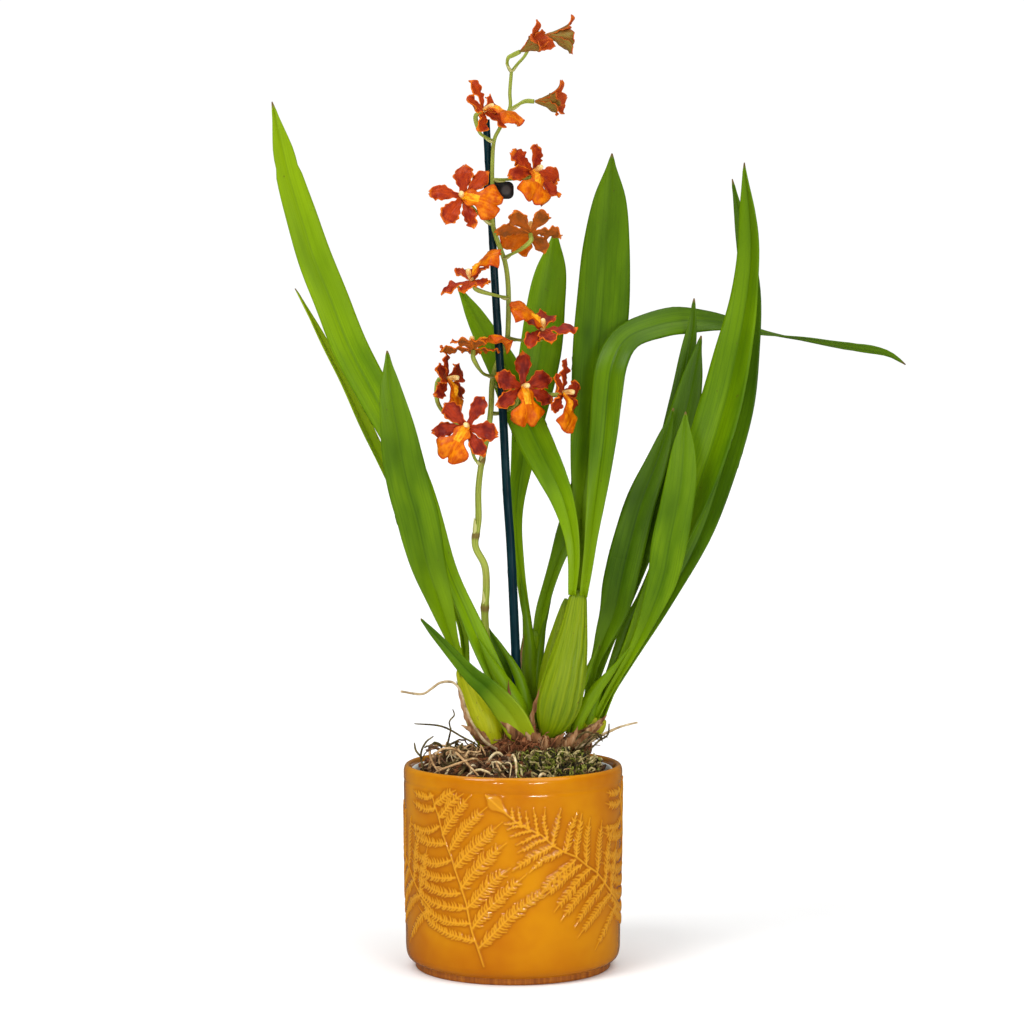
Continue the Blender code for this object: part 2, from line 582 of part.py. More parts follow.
def right_leaves():
    green = material("leaf_right", (0.16, 0.32, 0.02), 0.4)
    deep = material("leaf_right_back", (0.10, 0.22, 0.02), 0.45)
    leaf("leaf_right_tall",
         ((57.2, 4.8, 159.8), (61, 3.5, 171), (66, 1, 184), (74, -2, 202), (82, -5, 223), (92, -8, 247),
          (103, -11, 273), (115, -13, 302), (126, -14, 334), (135, -13, 365), (142, -10, 395),
          (148, -6, 426), (151, -2, 456), (150, 2, 484), (147, 6, 514)),
         (5, 9, 12, 17, 24, 31, 34, 32, 26, 20, 15, TIP_WIDTH),
         ((-0.5, -1, 0.3), (-0.5, -1, 0.3), (-0.6, -0.9, 0.2), (-0.8, -0.7, 0.2)), (34, 26), green, 15)
    leaf("leaf_right_back_tall",
         ((56.5, 10.3, 158.9), (64, 13, 175), (77, 15, 196), (98, 17, 231), (120, 19, 273),
          (134, 21, 312), (146, 23, 356), (151, 24, 395), (153, 25, 427), (151, 25, 452), (147, 25, 475),
          (141, 25, 505)),
         (4.5, 6, 9, 13, 17, 19, 20, 18, 15, 10, TIP_WIDTH),
         ((-0.4, -1, 0.3), (-0.3, -1, 0.2), (-0.3, -1, 0)), (40, 16), deep)
    leaf("leaf_right_narrow",
         ((48.5, 13.2, 160.3), (54, 16, 182), (63, 17.5, 208), (74, 18, 240), (85, 18, 273), (95, 17.5, 305),
          (102, 17, 337), (108, 16, 366), (112, 15, 391), (115, 14, 411), (116, 13, 428)),
         (4, 5, 7, 9, 12, 14, 15, 15, 13, 9, TIP_WIDTH),
         ((-0.2, -1, 0.1), (-0.2, -1, 0.1)), (40, 14), deep)
    leaf("leaf_right_dark",
         ((45.4, 9, 161.6), (51, 11, 179), (60, 11.5, 202), (70, 11, 228), (80, 10, 257), (89, 9, 286),
          (99, 8, 318), (107, 7, 344), (113, 6, 369), (117, 5, 389), (120, 4, 404)),
         (4, 5, 7, 10, 13, 17, 20, 22, 20, 13, TIP_WIDTH),
         ((-0.2, -1, 0.1), (-0.2, -1, 0.1)), (40, 12), deep)
    leaf("leaf_right_broad",
         ((46.5, 3.5, 162), (51, 6, 188), (58, 5, 209), (65, 4, 228), (69, 2, 248), (75, 0, 274),
          (82, -1, 299), (91, -2, 322), (98, -3, 343), (102, -3, 358)),
         (4, 5, 8, 16, 22, 23, 22, 20, 16, 10, TIP_WIDTH),
         ((-0.3, -1, 0.1), (-0.2, -1, 0.1)), (40, 12), green)
    leaf("leaf_right_front",
         ((53.9, 0.2, 160.9), (63, -4, 179), (72, -8, 195), (81, -12, 213), (89, -17, 233),
          (95, -21, 252), (99, -25, 275), (103, -28, 297), (106, -30, 319), (108, -32, 356)),
         (4, 4.6, 6, 9, 14, 20, 23, 22, 20, 14, TIP_WIDTH),
         ((-0.3, -1, 0.2), (-0.2, -1, 0.1), (0, -1, 0)), (40, 14), green)
    leaf("leaf_right_small",
         ((52.7, 14.3, 159.2), (58, 19, 174), (64, 21.5, 188), (70, 23, 203), (76, 24, 219),
          (84, 25, 234), (91, 26, 254), (97, 26, 273)),
         (3.6, 4, 5, 7, 9, 10, 9, 8, 6, 4, TIP_WIDTH),
         ((-0.3, -1, 0.1), (-0.2, -1, 0.1)), (36, 14), deep, 10)


def sheath_leaves():
    green = material("sheath", (0.26, 0.38, 0.05), 0.45)
    leaf("sheath_front",
         ((8.1, -18.8, 148.2), (4, -21, 155), (-1, -22.5, 164), (-9, -24, 174), (-18, -25, 183),
          (-27, -26, 191), (-43, -29, 209), (-58, -33, 226)),
         (7, 10, 11, 11, 11, 10, 9, 8, 6, 4, TIP_WIDTH),
         ((-0.5, -1, -0.5), (-0.5, -1, -0.5)), (26, 14), green, 10)
    leaf("sheath_back",
         ((11.8, 9.1, 146.8), (9, 9, 160), (4, 8, 174), (-2, 8, 189), (-10, 8, 204), (-19, 8, 221)),
         (7, 10, 12, 12, 11, 10, 9, 7, 5, 3, TIP_WIDTH),
         ((0.2, -1, 0.2), (0.2, -1, 0.2)), (14, 12), green, 9)


# Loose aerial roots, support stick and clip

def aerial_roots():
    pale = material("root", (0.52, 0.44, 0.26), 0.75)
    tube("aerial_root_left",
         ((-10.5, -14.7, 141.2), (-18, -18.5, 147), (-25, -19, 157), (-30, -17.5, 168), (-33, -17, 178),
          (-38, -16, 184), (-46, -16, 184), (-52, -17, 180), (-58, -19, 177), (-71, -22, 179)),
         (1.3, 1.3, 1.2, 0.9), 5, 12, pale)
    tube("aerial_root_right",
         ((39.5, -16.8, 142.2), (48, -18, 146), (56, -17.5, 150.5), (68, -18, 156), (79, -19, 159)),
         (1.3, 1.2, 1.0), 5, 7, pale)


STICK = ((6.5, 4, 70), (4.5, 3, 130), (3, 2, 171), (-1, 0, 261), (-4, -1, 306), (-7, -3, 366), (-11, -5, 429),
         (-17, -8, 540))
STICK_RADII = (3.0, 3.0, 2.9, 2.7, 2.6, 2.4, 2.3)


def support_stick():
    teal = material("stick", (0.008, 0.035, 0.05), 0.35)
    tube("support_stick", STICK, STICK_RADII, 8, 9, teal)


def stem_clip():
    """A small black clip that holds the stem to the stick, with a flat finger tab."""
    black = material("clip", (0.01, 0.01, 0.01), 0.4)
    stick_at = Vector((-14.7, -6.75, 495.5))
    stem_at = Vector((-12.95, -14.0, 495.5))
    height = Vector((0, 0, 3.0))
    body = tube("stem_clip", (stick_at - height, stick_at, stick_at + height), (3.9, 3.9), 10, 1, black)
    ring = tube("ring", (stem_at - height, stem_at, stem_at + height), (3.2, 3.2), 10, 1, black)
    tab = chip((-6.0, -9.4, 495.5), (13.0, 2.2, 11.0), 0.0, black)
    fuse(body, (ring, tab))
    through = height * 2
    stick_hole = tube("hole", (stick_at - through, stick_at, stick_at + through), (2.9, 2.9), 8, 1, black)
    stem_hole = tube("hole", (stem_at - through, stem_at, stem_at + through), (2.1, 2.1), 8, 1, black)
    cut(body, (stick_hole, stem_hole))


# Blooms: hub place, the way the bloom faces, the way its upper sepal points, and its side stalk.
# An open bloom also has the angle in degrees by which its lip is raised from the bloom's plane.

HALF_OPEN = {
    "bloom_01": ((20, -6, 593), (1, 0.15, -0.05), (0, -0.4, 1), ((-1, -8, 570), (3, -8, 575), (8, -7, 581))),
    "bloom_02": ((5, -16, 582), (0.8, -0.4, 0.35), (-0.35, 0, 0.9),
                 ((-1, -8, 570), (-3.5, -11, 574), (-3, -14, 578))),
    "bloom_03": ((14, -12, 551), (1, -0.25, -0.05), (0, -0.2, 1), ((-2, -10, 546), (3, -11, 549))),
}
OPEN = {
    "bloom_04": ((-18.5, -28, 543), (0.78, -0.45, 0.42), (-0.4, 0.1, 0.9), 42,
                 ((-12, -12, 526), (-17, -17, 528), (-21, -23, 531))),
    "bloom_05": ((13, -14, 506), (0.6, -0.68, 0.4), (0.45, 0, 0.88), 0,
                 ((-13, -14, 502), (-5, -12, 502), (3, -9, 503))),
    "bloom_06": ((-31, -27, 490), (-0.1, -0.95, 0.25), (-0.93, 0, 0.3), 0,
                 ((-14, -14, 474), (-19, -16, 478))),
    "bloom_07": ((11, -20, 468), (0, 0.57, 0.82), (0.5, -0.7, 0.35), 0,
                 ((-6, -8, 453), (-1, -15, 455), (5, -20, 458))),
    "bloom_08": ((-25, -23, 438), (-0.35, -0.35, 0.87), (-0.9, 0.15, -0.36), 22,
                 ((-3, -2, 428), (-10, -12, 429))),
    "bloom_09": ((18, -14, 407), (0.05, -0.5, 0.85), (0.97, 0, 0.05), 34, ((-4, 2, 403), (5, -6, 401))),
    "bloom_10": ((-25, -22.5, 395), (-0.05, 0.2, 0.95), (-0.9, 0.35, 0.3), 0,
                 ((-12, 3, 378), (-19, -6, 380))),
    "bloom_11": ((-42, -8, 376), (0.9, -0.4, 0.1), (0, 0, 1), 0,
                 ((-18, -4, 333), (-29, 0, 343), (-41, -2, 352), (-48, -5, 362))),
    "bloom_12": ((-29, -26, 346), (-0.1, -0.97, 0.2), (0.5, 0, 0.86), 0, ((-21, -6, 322), (-25, -12, 328))),
    "bloom_13": ((6, -19.5, 371), (0.44, -0.88, 0.12), (-0.05, 0, 1), 0,
                 ((-15, 0, 355), (-8, 3, 355), (2, -1, 360))),
    "bloom_14": ((31, -15, 367), (0.9, -0.42, 0.1), (0.35, 0, 1), 0,
                 ((-13, 4, 373), (-2, 4, 371), (10, -2, 368))),
}
STEM = ((-3, -4.9, 145.9), (-5, -1, 156), (-7, 1, 166), (-10, 1.5, 180), (-14, 1.5, 196), (-17, 0.5, 212),
        (-18, -3, 228), (-17, -7, 244), (-18, -9, 258), (-24, -9, 271), (-22, -9, 287), (-22, -8, 306),
        (-20, -6, 323), (-16, -3, 342), (-14, 0, 358), (-13, 3, 376), (-8, 4, 392), (-4, 3, 400),
        (-3, 1, 413), (-3, -2, 434), (-5, -7, 450), (-10, -12, 464), (-13, -14, 476), (-13, -14, 492),
        (-13, -13.5, 510), (-12, -12.5, 526), (-8, -11, 535), (-2, -10, 547), (-2, -9, 557), (-1, -8, 570))
STEM_RADII = (2.3, 2.4, 2.4, 2.3, 2.1, 1.9, 1.8, 1.7, 1.6, 1.5, 1.3, 1.2, 1.1)


def flower_spike():
    pale = material("stem", (0.32, 0.44, 0.09), 0.45)
    spike = tube("flower_spike", STEM, STEM_RADII, 6, 34, pale)
    stalks = []
    for hub, face, *_, route in [*HALF_OPEN.values(), *OPEN.values()]:
        look = Vector(face).normalized()
        end = Vector(hub) - look * (TEPAL_THICKNESS / 2 + GAP + 0.1)
        points = [*route, end - look * 5.5, end]
        stalks.append(tube("stalk", points, STALK_RADII, 5, len(points) + 1, pale))
    fuse(spike, stalks)


def place_bloom(item, hub, face, up):
    """Puts a bloom made round +Z in its place, facing the way it faces."""
    look = Vector(face).normalized()
    high = Vector(up) - look * Vector(up).dot(look)
    high.normalize()
    turn = Matrix((high.cross(look), high, look)).transposed().to_4x4()
    item.matrix_world = Matrix.Translation(Vector(hub) * MM) @ turn


def around(degrees, radius):
    turn = math.radians(degrees)
    return Vector((radius * math.cos(turn), radius * math.sin(turn), 0))


def tepals(name, hub, face, up, rises, narrow, steps, mat):
    """Sepals and petals as one star-shaped sheet round a small middle, facing +Z.

    They leave the middle at the first rise and end at the second, in degrees above its plane.
    """
    bm = bmesh.new()
    directions = [direction for direction, _, _ in TEPALS]
    corners = []
    for a, b in zip(directions, directions[1:] + [directions[0] + 360]):
        corners.append(bm.verts.new(around((a + b) / 2, HUB_RADIUS)))
    middle = bm.verts.new((0, 0, 0))
    for k, (direction, length, width) in enumerate(TEPALS):
        row = [corners[k - 1], bm.verts.new(around(direction, HUB_RADIUS)), corners[k]]
        bm.faces.new((middle, row[0], row[1]))
        bm.faces.new((middle, row[1], row[2]))
        out = around(direction, 1)
        side = around(direction + 90, 1)
        spot = out * HUB_RADIUS
        petal = k % 2
        for step in range(1, steps + 1):
            t = step / steps
            rise = math.radians(rises[0] + (rises[1] - rises[0]) * (t - 0.5 / steps) + 4 * petal)
            spot = spot + (out * math.cos(rise) + Vector((0, 0, math.sin(rise)))) * length / steps
            half = along(TEPAL_PROFILE, t) * width * narrow / 2
            wave = Vector((0, 0, CRISPING if step % 2 else -0.8 * CRISPING)) * min(1.0, t * 2)
            places = (spot - side * half + wave, spot, spot + side * half + wave)
            ends = [bm.verts.new(place) for place in places]
            for a in (0, 1):
                bm.faces.new((row[a], ends[a], ends[a + 1], row[a + 1]))
            row = ends
    bmesh.ops.scale(bm, vec=(MM, MM, MM), verts=bm.verts)
    bmesh.ops.recalc_face_normals(bm, faces=bm.faces)
    bmesh.ops.triangulate(bm, faces=bm.faces)
    item = mesh_object(name, bm, mat)
    thicken = item.modifiers.new("thickness", 'SOLIDIFY')
    thicken.thickness = TEPAL_THICKNESS * MM
    thicken.offset = 0
    place_bloom(item, hub, face, up)


def lip(name, hub, face, up, raised, mat):
    """The broad two-lobed lip with its raised crest, and the column above it."""
    swing = Matrix.Rotation(math.radians(-raised), 3, 'X')
    root = Vector((0, LIP_START, LIP_RISE[0]))

    def place(u, t):
        notch = LIP_NOTCH * (1 - abs(u)) * max(0.0, t - 0.8) / 0.2
        bulge = along(CREST_HEIGHT, t) * (1 - abs(u)) - 0.9 * u * u * math.sin(math.pi * t)
        reach = LIP_START - LIP_LENGTH * t + notch
        spot = Vector((u * along(LIP_HALF_WIDTHS, t), reach, along(LIP_RISE, t) + bulge))
        return root + swing @ (spot - root)

    body = blade(name, 4, 4, place, LIP_THICKNESS, mat)
    foot = TEPAL_THICKNESS / 2 + GAP
    spine = ((0, 0.6, foot), (0, 0.8, foot + COLUMN_HEIGHT * 0.44), (0, 0.5, foot + COLUMN_HEIGHT))
    column = tube("column", spine, COLUMN_RADII, 6, 3, mat)
    fuse(body, (column,))
    place_bloom(body, hub, face, up)


def blooms():
    rust = material("tepal", (0.45, 0.06, 0.01), 0.55)
    orange = material("lip", (0.85, 0.30, 0.01), 0.5)
    for name, (hub, face, up, _) in HALF_OPEN.items():
        tepals(name, hub, face, up, HALF_OPEN_RISES, HALF_OPEN_WIDTH, 4, rust)
    for name, (hub, face, up, raised, _) in OPEN.items():
        tepals(name + "_tepals", hub, face, up, OPEN_RISES, 1.0, 5, rust)
        lip(name + "_lip", hub, face, up, raised, orange)


def longer(points):
    """The same path with its first and last point moved out by the clearance."""
    knots = [Vector(point) for point in points]
    first = knots[0] + (knots[0] - knots[1]).normalized() * HOLE_CLEARANCE
    last = knots[-1] + (knots[-1] - knots[-2]).normalized() * HOLE_CLEARANCE
    return [first, *knots[1:-1], last]


def stem_holes():
    """Inflated copies of what stands in the medium, which cut its plain holes."""
    void = material("hole", (0, 0, 0), 1.0)
    holes = []
    sunk = ((RHIZOME, RHIZOME_RADII, 11), (RHIZOME_BRANCH, BRANCH_RADII, 5), (STICK, STICK_RADII, 9))
    for points, radii, stations in sunk:
        wide = [radius + HOLE_CLEARANCE for radius in radii]
        holes.append(tube("hole", longer(points), wide, 8, stations, void))
    return holes


def build():
    clear_scene()
    cover_pot()
    liner_pot()
    growing_medium(stem_holes())
    moss()
    rhizome()
    pseudobulbs()
    left_leaves()
    centre_leaves()
    right_leaves()
    sheath_leaves()
    aerial_roots()
    support_stick()
    stem_clip()
    flower_spike()
    blooms()


build()
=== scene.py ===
import math
import random

import bmesh
import bpy
import numpy as np
from mathutils import Matrix, Vector


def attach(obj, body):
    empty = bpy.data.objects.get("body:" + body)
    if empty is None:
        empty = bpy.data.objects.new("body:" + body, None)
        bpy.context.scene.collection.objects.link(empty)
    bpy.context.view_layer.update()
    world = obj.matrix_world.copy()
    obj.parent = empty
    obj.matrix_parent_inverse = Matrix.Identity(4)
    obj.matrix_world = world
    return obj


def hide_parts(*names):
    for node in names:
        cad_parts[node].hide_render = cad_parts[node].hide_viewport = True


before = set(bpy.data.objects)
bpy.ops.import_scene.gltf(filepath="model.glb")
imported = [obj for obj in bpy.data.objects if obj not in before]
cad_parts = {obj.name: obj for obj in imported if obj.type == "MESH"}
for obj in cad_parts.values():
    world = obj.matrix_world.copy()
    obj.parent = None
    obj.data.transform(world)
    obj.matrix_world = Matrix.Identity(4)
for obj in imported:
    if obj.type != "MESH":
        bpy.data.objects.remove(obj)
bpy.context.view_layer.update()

MM = 0.001


# The cover pot is slip-cast earthenware with a soft rounded lip and an unglazed foot. Fern fronds
# pressed into its mould stand up from the wall as fine feathered ridges, over which the amber
# glaze runs thin and pale; beside them it pools darker, with painted shade in the grooves as well.
POT_STEPS = 180
WALL_RADIUS = 69.6
WALL_LOW = 10.5
WALL_HIGH = 123.0
WALL_ROWS = 208
PANEL_COLUMNS = 292
PANEL_RECESS = 1.3
PANEL_DEPTH = 1.15
RELIEF_HEIGHT = 1.3
RELIEF_SOFTNESS = 0.35
FERN_PANELS = ("fern_front", "fern_right", "fern_left")
STEEP_RACHIS = (
    (-46, 117), (-43.4, 109.5), (-41, 102.8), (-38.7, 93.7), (-36.6, 87.7), (-33.5, 80), (-31, 72),
    (-28, 63), (-24.6, 51.4), (-22.5, 38.4), (-21, 32), (-18.8, 25.4), (-17, 19.3), (-15.2, 12.8),
)
STEEP_LEAFLETS = (
    ((-45.3, 116.8), (-63.3, 117.7), 2.2), ((-43.4, 109.2), (-64.1, 110.8), 2.4),
    ((-41.2, 98), (-68, 96.9), 2.2), ((-36.8, 87.7), (-66.7, 92.5), 2.6),
    ((-33.9, 77.5), (-68.6, 82.2), 2.8), ((-31.2, 67), (-68, 74.2), 2.8),
    ((-28.4, 57.5), (-63.4, 65.3), 2.8), ((-25, 48.3), (-63.5, 58.5), 2.8),
    ((-22.5, 39.1), (-62, 54.4), 2.6), ((-19.8, 28.4), (-59.9, 44.9), 2.6),
    ((-43.5, 112), (-30.4, 122), 3.0), ((-40.9, 103.5), (-26.3, 120.3), 3.0),
    ((-38.7, 93), (-21.9, 119.1), 3.4), ((-34, 84), (-13.2, 112.4), 3.4),
    ((-31.2, 73), (-5.3, 103.1), 3.8), ((-27.5, 60.5), (-3.4, 90.1), 3.9),
    ((-23.8, 49.2), (-1.7, 75), 4.0), ((-21, 36.5), (6.9, 70.1), 4.0), ((-17.5, 24.5), (20.9, 63.5), 3.8),
)
FLAT_RACHIS = (
    (-13, 118.5), (-7.3, 112.4), (-2.8, 107.8), (1.7, 103.2), (6.7, 99.6), (14.5, 95), (20.2, 88.5),
    (26.9, 83.6), (34.4, 79.7), (41.9, 72.9), (48.5, 68.3), (56.2, 59.9), (63, 52.6), (71.3, 46.1),
)
FLAT_LEAFLETS = (
    ((0.4, 105.5), (-0.7, 112.1), 0.8), ((4.2, 102.4), (2.6, 112.1), 0.8), ((8, 99.6), (6.7, 109.8), 0.9),
    ((12.9, 95.9), (10.6, 111.5), 1.0), ((17.6, 92), (16.2, 111.4), 1.3),
    ((20.9, 87.6), (25.6, 110.5), 1.8), ((27.6, 83.2), (34.8, 107.8), 2.4),
    ((34.4, 80.1), (38, 106.7), 2.4), ((41, 74.6), (43.4, 103.3), 2.6), ((49.5, 68.6), (52.8, 100.4), 2.8),
    ((56.2, 59.9), (62.9, 92.4), 2.8), ((63, 52.6), (70.5, 84.5), 2.8), ((2.9, 103.2), (-4.4, 102), 0.7),
    ((6.1, 101.2), (-2.9, 98.5), 0.8), ((9.3, 98), (-1.5, 93.9), 0.9), ((13.2, 95.1), (1.7, 88.6), 1.2),
    ((16.5, 91.8), (2.6, 83.7), 1.3), ((20.2, 87.7), (-0.3, 72.9), 2.2), ((26.2, 84.1), (8, 72), 1.9),
    ((33.6, 77.9), (12.6, 57), 3.0), ((37.6, 74.2), (15.9, 55.3), 2.4), ((43.7, 71), (22, 46.1), 3.0),
    ((49.5, 66.2), (25.5, 40.3), 3.0), ((55, 59.7), (33.7, 35.4), 2.9), ((63, 51.8), (36.1, 28.5), 2.8),
    ((71.3, 43.7), (48.6, 18.6), 2.6),
)
TIP_LEAFLET = ((-14, 119.8), (-3.5, 109), 5.4)
FOOT_BAND_RADIUS = 62.9
FOOT_BAND_TOP = 4.5


def bare_wall(height):
    """The wall's radius: it widens slightly upwards, with a faint cove under the rolled lip."""
    cove = 0.30 * math.exp(-((height - 120.2) / 1.15) ** 2)
    return 68.75 + (height - 16) * 0.0123 - 0.35 * (max(0.0, 16 - height) / 5.5) ** 2 - cove


def pressed(field, a, b, radii, rise, crisp=1.0):
    """Raises one straight rounded ridge from a to b in the height field, in millimetres on the wall."""
    rows, columns = field.shape
    step = math.tau * WALL_RADIUS / (len(FERN_PANELS) * PANEL_COLUMNS)
    drop = (WALL_HIGH - WALL_LOW) / (WALL_ROWS - 1)
    start, end = np.array(a), np.array(b)
    room = max(radii) + step
    low = np.minimum(start, end) - room
    high = np.maximum(start, end) + room
    across = np.arange(int(low[0] // step), int(high[0] // step) + 2)
    up = np.arange(max(0, int((low[1] - WALL_LOW) // drop)),
                   min(rows - 1, int((high[1] - WALL_LOW) // drop) + 1) + 1)
    if len(up) == 0:
        return
    x, z = np.meshgrid(across * step, WALL_LOW + up * drop)
    run = end - start
    along = np.clip(((x - start[0]) * run[0] + (z - start[1]) * run[1]) / max(run @ run, 1e-6), 0, 1)
    away = np.hypot(x - start[0] - along * run[0], z - start[1] - along * run[1])
    width = radii[0] + (radii[1] - radii[0]) * along
    bump = rise * np.clip((1 - (away / width) ** 2) * crisp, 0, 1)
    spots = np.ix_(up, across % columns)
    field[spots] = np.maximum(field[spots], bump)


def on_wall(degrees, height):
    """A place on the wall, as millimetres round it from the front and millimetres up."""
    return np.array((math.radians(degrees) * WALL_RADIUS, height))


def frond_leaflet(field, root, tip, half, bow, chance):
    """One leaflet: a faint raised plane, a bowed midrib drawn out to a smooth tip, and a comb of teeth."""
    a, b = on_wall(*root), on_wall(*tip)
    length = float(np.hypot(*(b - a)))
    ahead = (b - a) / length
    aside = np.array((-ahead[1], ahead[0]))
    bend = bow * length * chance.uniform(0.5, 1.5)
    wave = chance.uniform(-0.5, 0.5)

    def middle(t):
        return a + (b - a) * t + aside * (bend * math.sin(math.pi * t) + wave * math.sin(8 * t))

    def spread(t):
        return half * math.sin(math.pi * min(0.95, 0.2 + 0.78 * t)) ** 0.7

    count = max(5, int(length / 1.6))
    for k in range(count):
        s, t = k / count, (k + 1) / count
        if s < 0.85:
            pressed(field, middle(s), middle(t), (spread(s) * 0.92, spread(t) * 0.92), 0.24, 1.2)
        thick = 0.92 - 0.38 * s
        pressed(field, middle(s), middle(t), (thick, thick), 0.68 - 0.2 * s)
    teeth = max(3, int(length * 0.86 / 2.3))
    for k in range(teeth):
        for hand in (-1, 1):
            t = 0.04 + 0.82 * (k + chance.uniform(-0.25, 0.25)) / teeth
            reach = spread(t) * chance.uniform(0.85, 1.35)
            elbow = middle(t) + aside * hand * reach * 0.60 + ahead * reach * 0.28
            point = elbow + aside * hand * reach * 0.42 + ahead * reach * 0.52
            pressed(field, middle(t), elbow, (0.92, 0.82), 0.62)
            pressed(field, elbow, point, (0.82, 0.46), 0.56)


def fern_relief():
    """The height field of one third of the wall; the same pair of fronds comes three times round it."""
    field = np.zeros((WALL_ROWS, PANEL_COLUMNS))
    chance = random.Random(5)
    for rachis, leaflets, left_bow in ((STEEP_RACHIS, STEEP_LEAFLETS, 0.09),
                                       (FLAT_RACHIS, FLAT_LEAFLETS, -0.05)):
        for root, tip, half in leaflets:
            leftward = tip[0] < root[0] - 8
            frond_leaflet(field, root, tip, half, left_bow if leftward else 0.03, chance)
        for k, (a, b) in enumerate(zip(rachis, rachis[1:])):
            thick = 0.68 + 0.25 * k / len(rachis)
            pressed(field, on_wall(*a), on_wall(*b), (thick, thick), 0.66)
    root, tip = on_wall(*TIP_LEAFLET[0]), on_wall(*TIP_LEAFLET[1])
    half = TIP_LEAFLET[2]
    widest = root * 0.55 + tip * 0.45
    pressed(field, root, widest, (0.5, half), 0.40, 2.0)
    pressed(field, widest, tip, (half, 0.8), 0.40, 2.0)
    pressed(field, root, tip, (0.7, 0.9), 0.62)
    return field


def soft(field, reach):
    """The field blurred by the given number of cells, round the pot and up it."""
    wide = np.pad(np.pad(field, ((reach, reach), (0, 0)), "edge"), ((0, 0), (reach, reach)), "wrap")
    rows = sum(wide[k:k + field.shape[0]] for k in range(2 * reach + 1)) / (2 * reach + 1)
    return sum(rows[:, k:k + field.shape[1]] for k in range(2 * reach + 1)) / (2 * reach + 1)


def pot_profile():
    """The body in section, with a shallow recess round the wall that the fern panels fill."""
    low, high = bare_wall(WALL_LOW), bare_wall(WALL_HIGH)
    foot = [(0, 0), (40, 0), (58, 0), (61.6, 0), (62.5, 0.6), (62.7, 2.4), (62.7, 4.2), (63.5, 4.7),
            (65.6, 5.7), (67.1, 7.2), (67.9, 8.8), (low, WALL_LOW), (low - PANEL_RECESS, WALL_LOW)]
    lip = [(high - PANEL_RECESS, WALL_HIGH), (high, WALL_HIGH), (70.05, 124.2), (70.1, 125.6),
           (70.02, 127), (69.8, 128.2), (69.35, 129.3), (68.75, 130.05), (68.05, 130.45), (67.35, 130.5),
           (66.65, 130.2), (66.12, 129.6), (65.8, 128.7), (65.7, 127.4)]
    inside = [(65.65, 124), (65.5, 118), (65.3, 110), (65, 95), (64.6, 75), (64, 40), (62.8, 16), (60.5, 8.6),
              (57, 6.3), (50, 6), (25, 6), (0, 6)]
    return foot + lip + inside


def turned(bm, profile, steps, middle=(0, 0, 0)):
    """Spins a profile of (radius, height) into a closed skin round an upright line through the middle.

    A profile that starts on the axis also ends there; any other is a loop, and makes a ring.
    """
    verts = [bm.verts.new(Vector((radius, 0, height)) * MM) for radius, height in profile]
    following = verts[1:] if profile[0][0] == 0 else verts[1:] + verts[:1]
    edges = [bm.edges.new(pair) for pair in zip(verts, following)]
    bmesh.ops.spin(bm, geom=verts + edges, cent=(0, 0, 0), axis=(0, 0, 1), angle=math.tau, steps=steps,
                   use_merge=True)
    bmesh.ops.remove_doubles(bm, verts=bm.verts, dist=0.001 * MM)
    bmesh.ops.translate(bm, verts=bm.verts, vec=[value * MM for value in middle])
    bmesh.ops.recalc_face_normals(bm, faces=bm.faces)


def finished(name, bm, materials, sharp):
    """Makes the bmesh an object of that name, shaded smooth but for edges sharper than so many degrees."""
    mesh = bpy.data.meshes.new(name)
    bm.to_mesh(mesh)
    bm.free()
    item = bpy.data.objects.new(name, mesh)
    bpy.context.scene.collection.objects.link(item)
    for mat in materials:
        mesh.materials.append(mat)
    mesh.shade_smooth()
    mesh.set_sharp_from_angle(angle=math.radians(sharp))
    return item


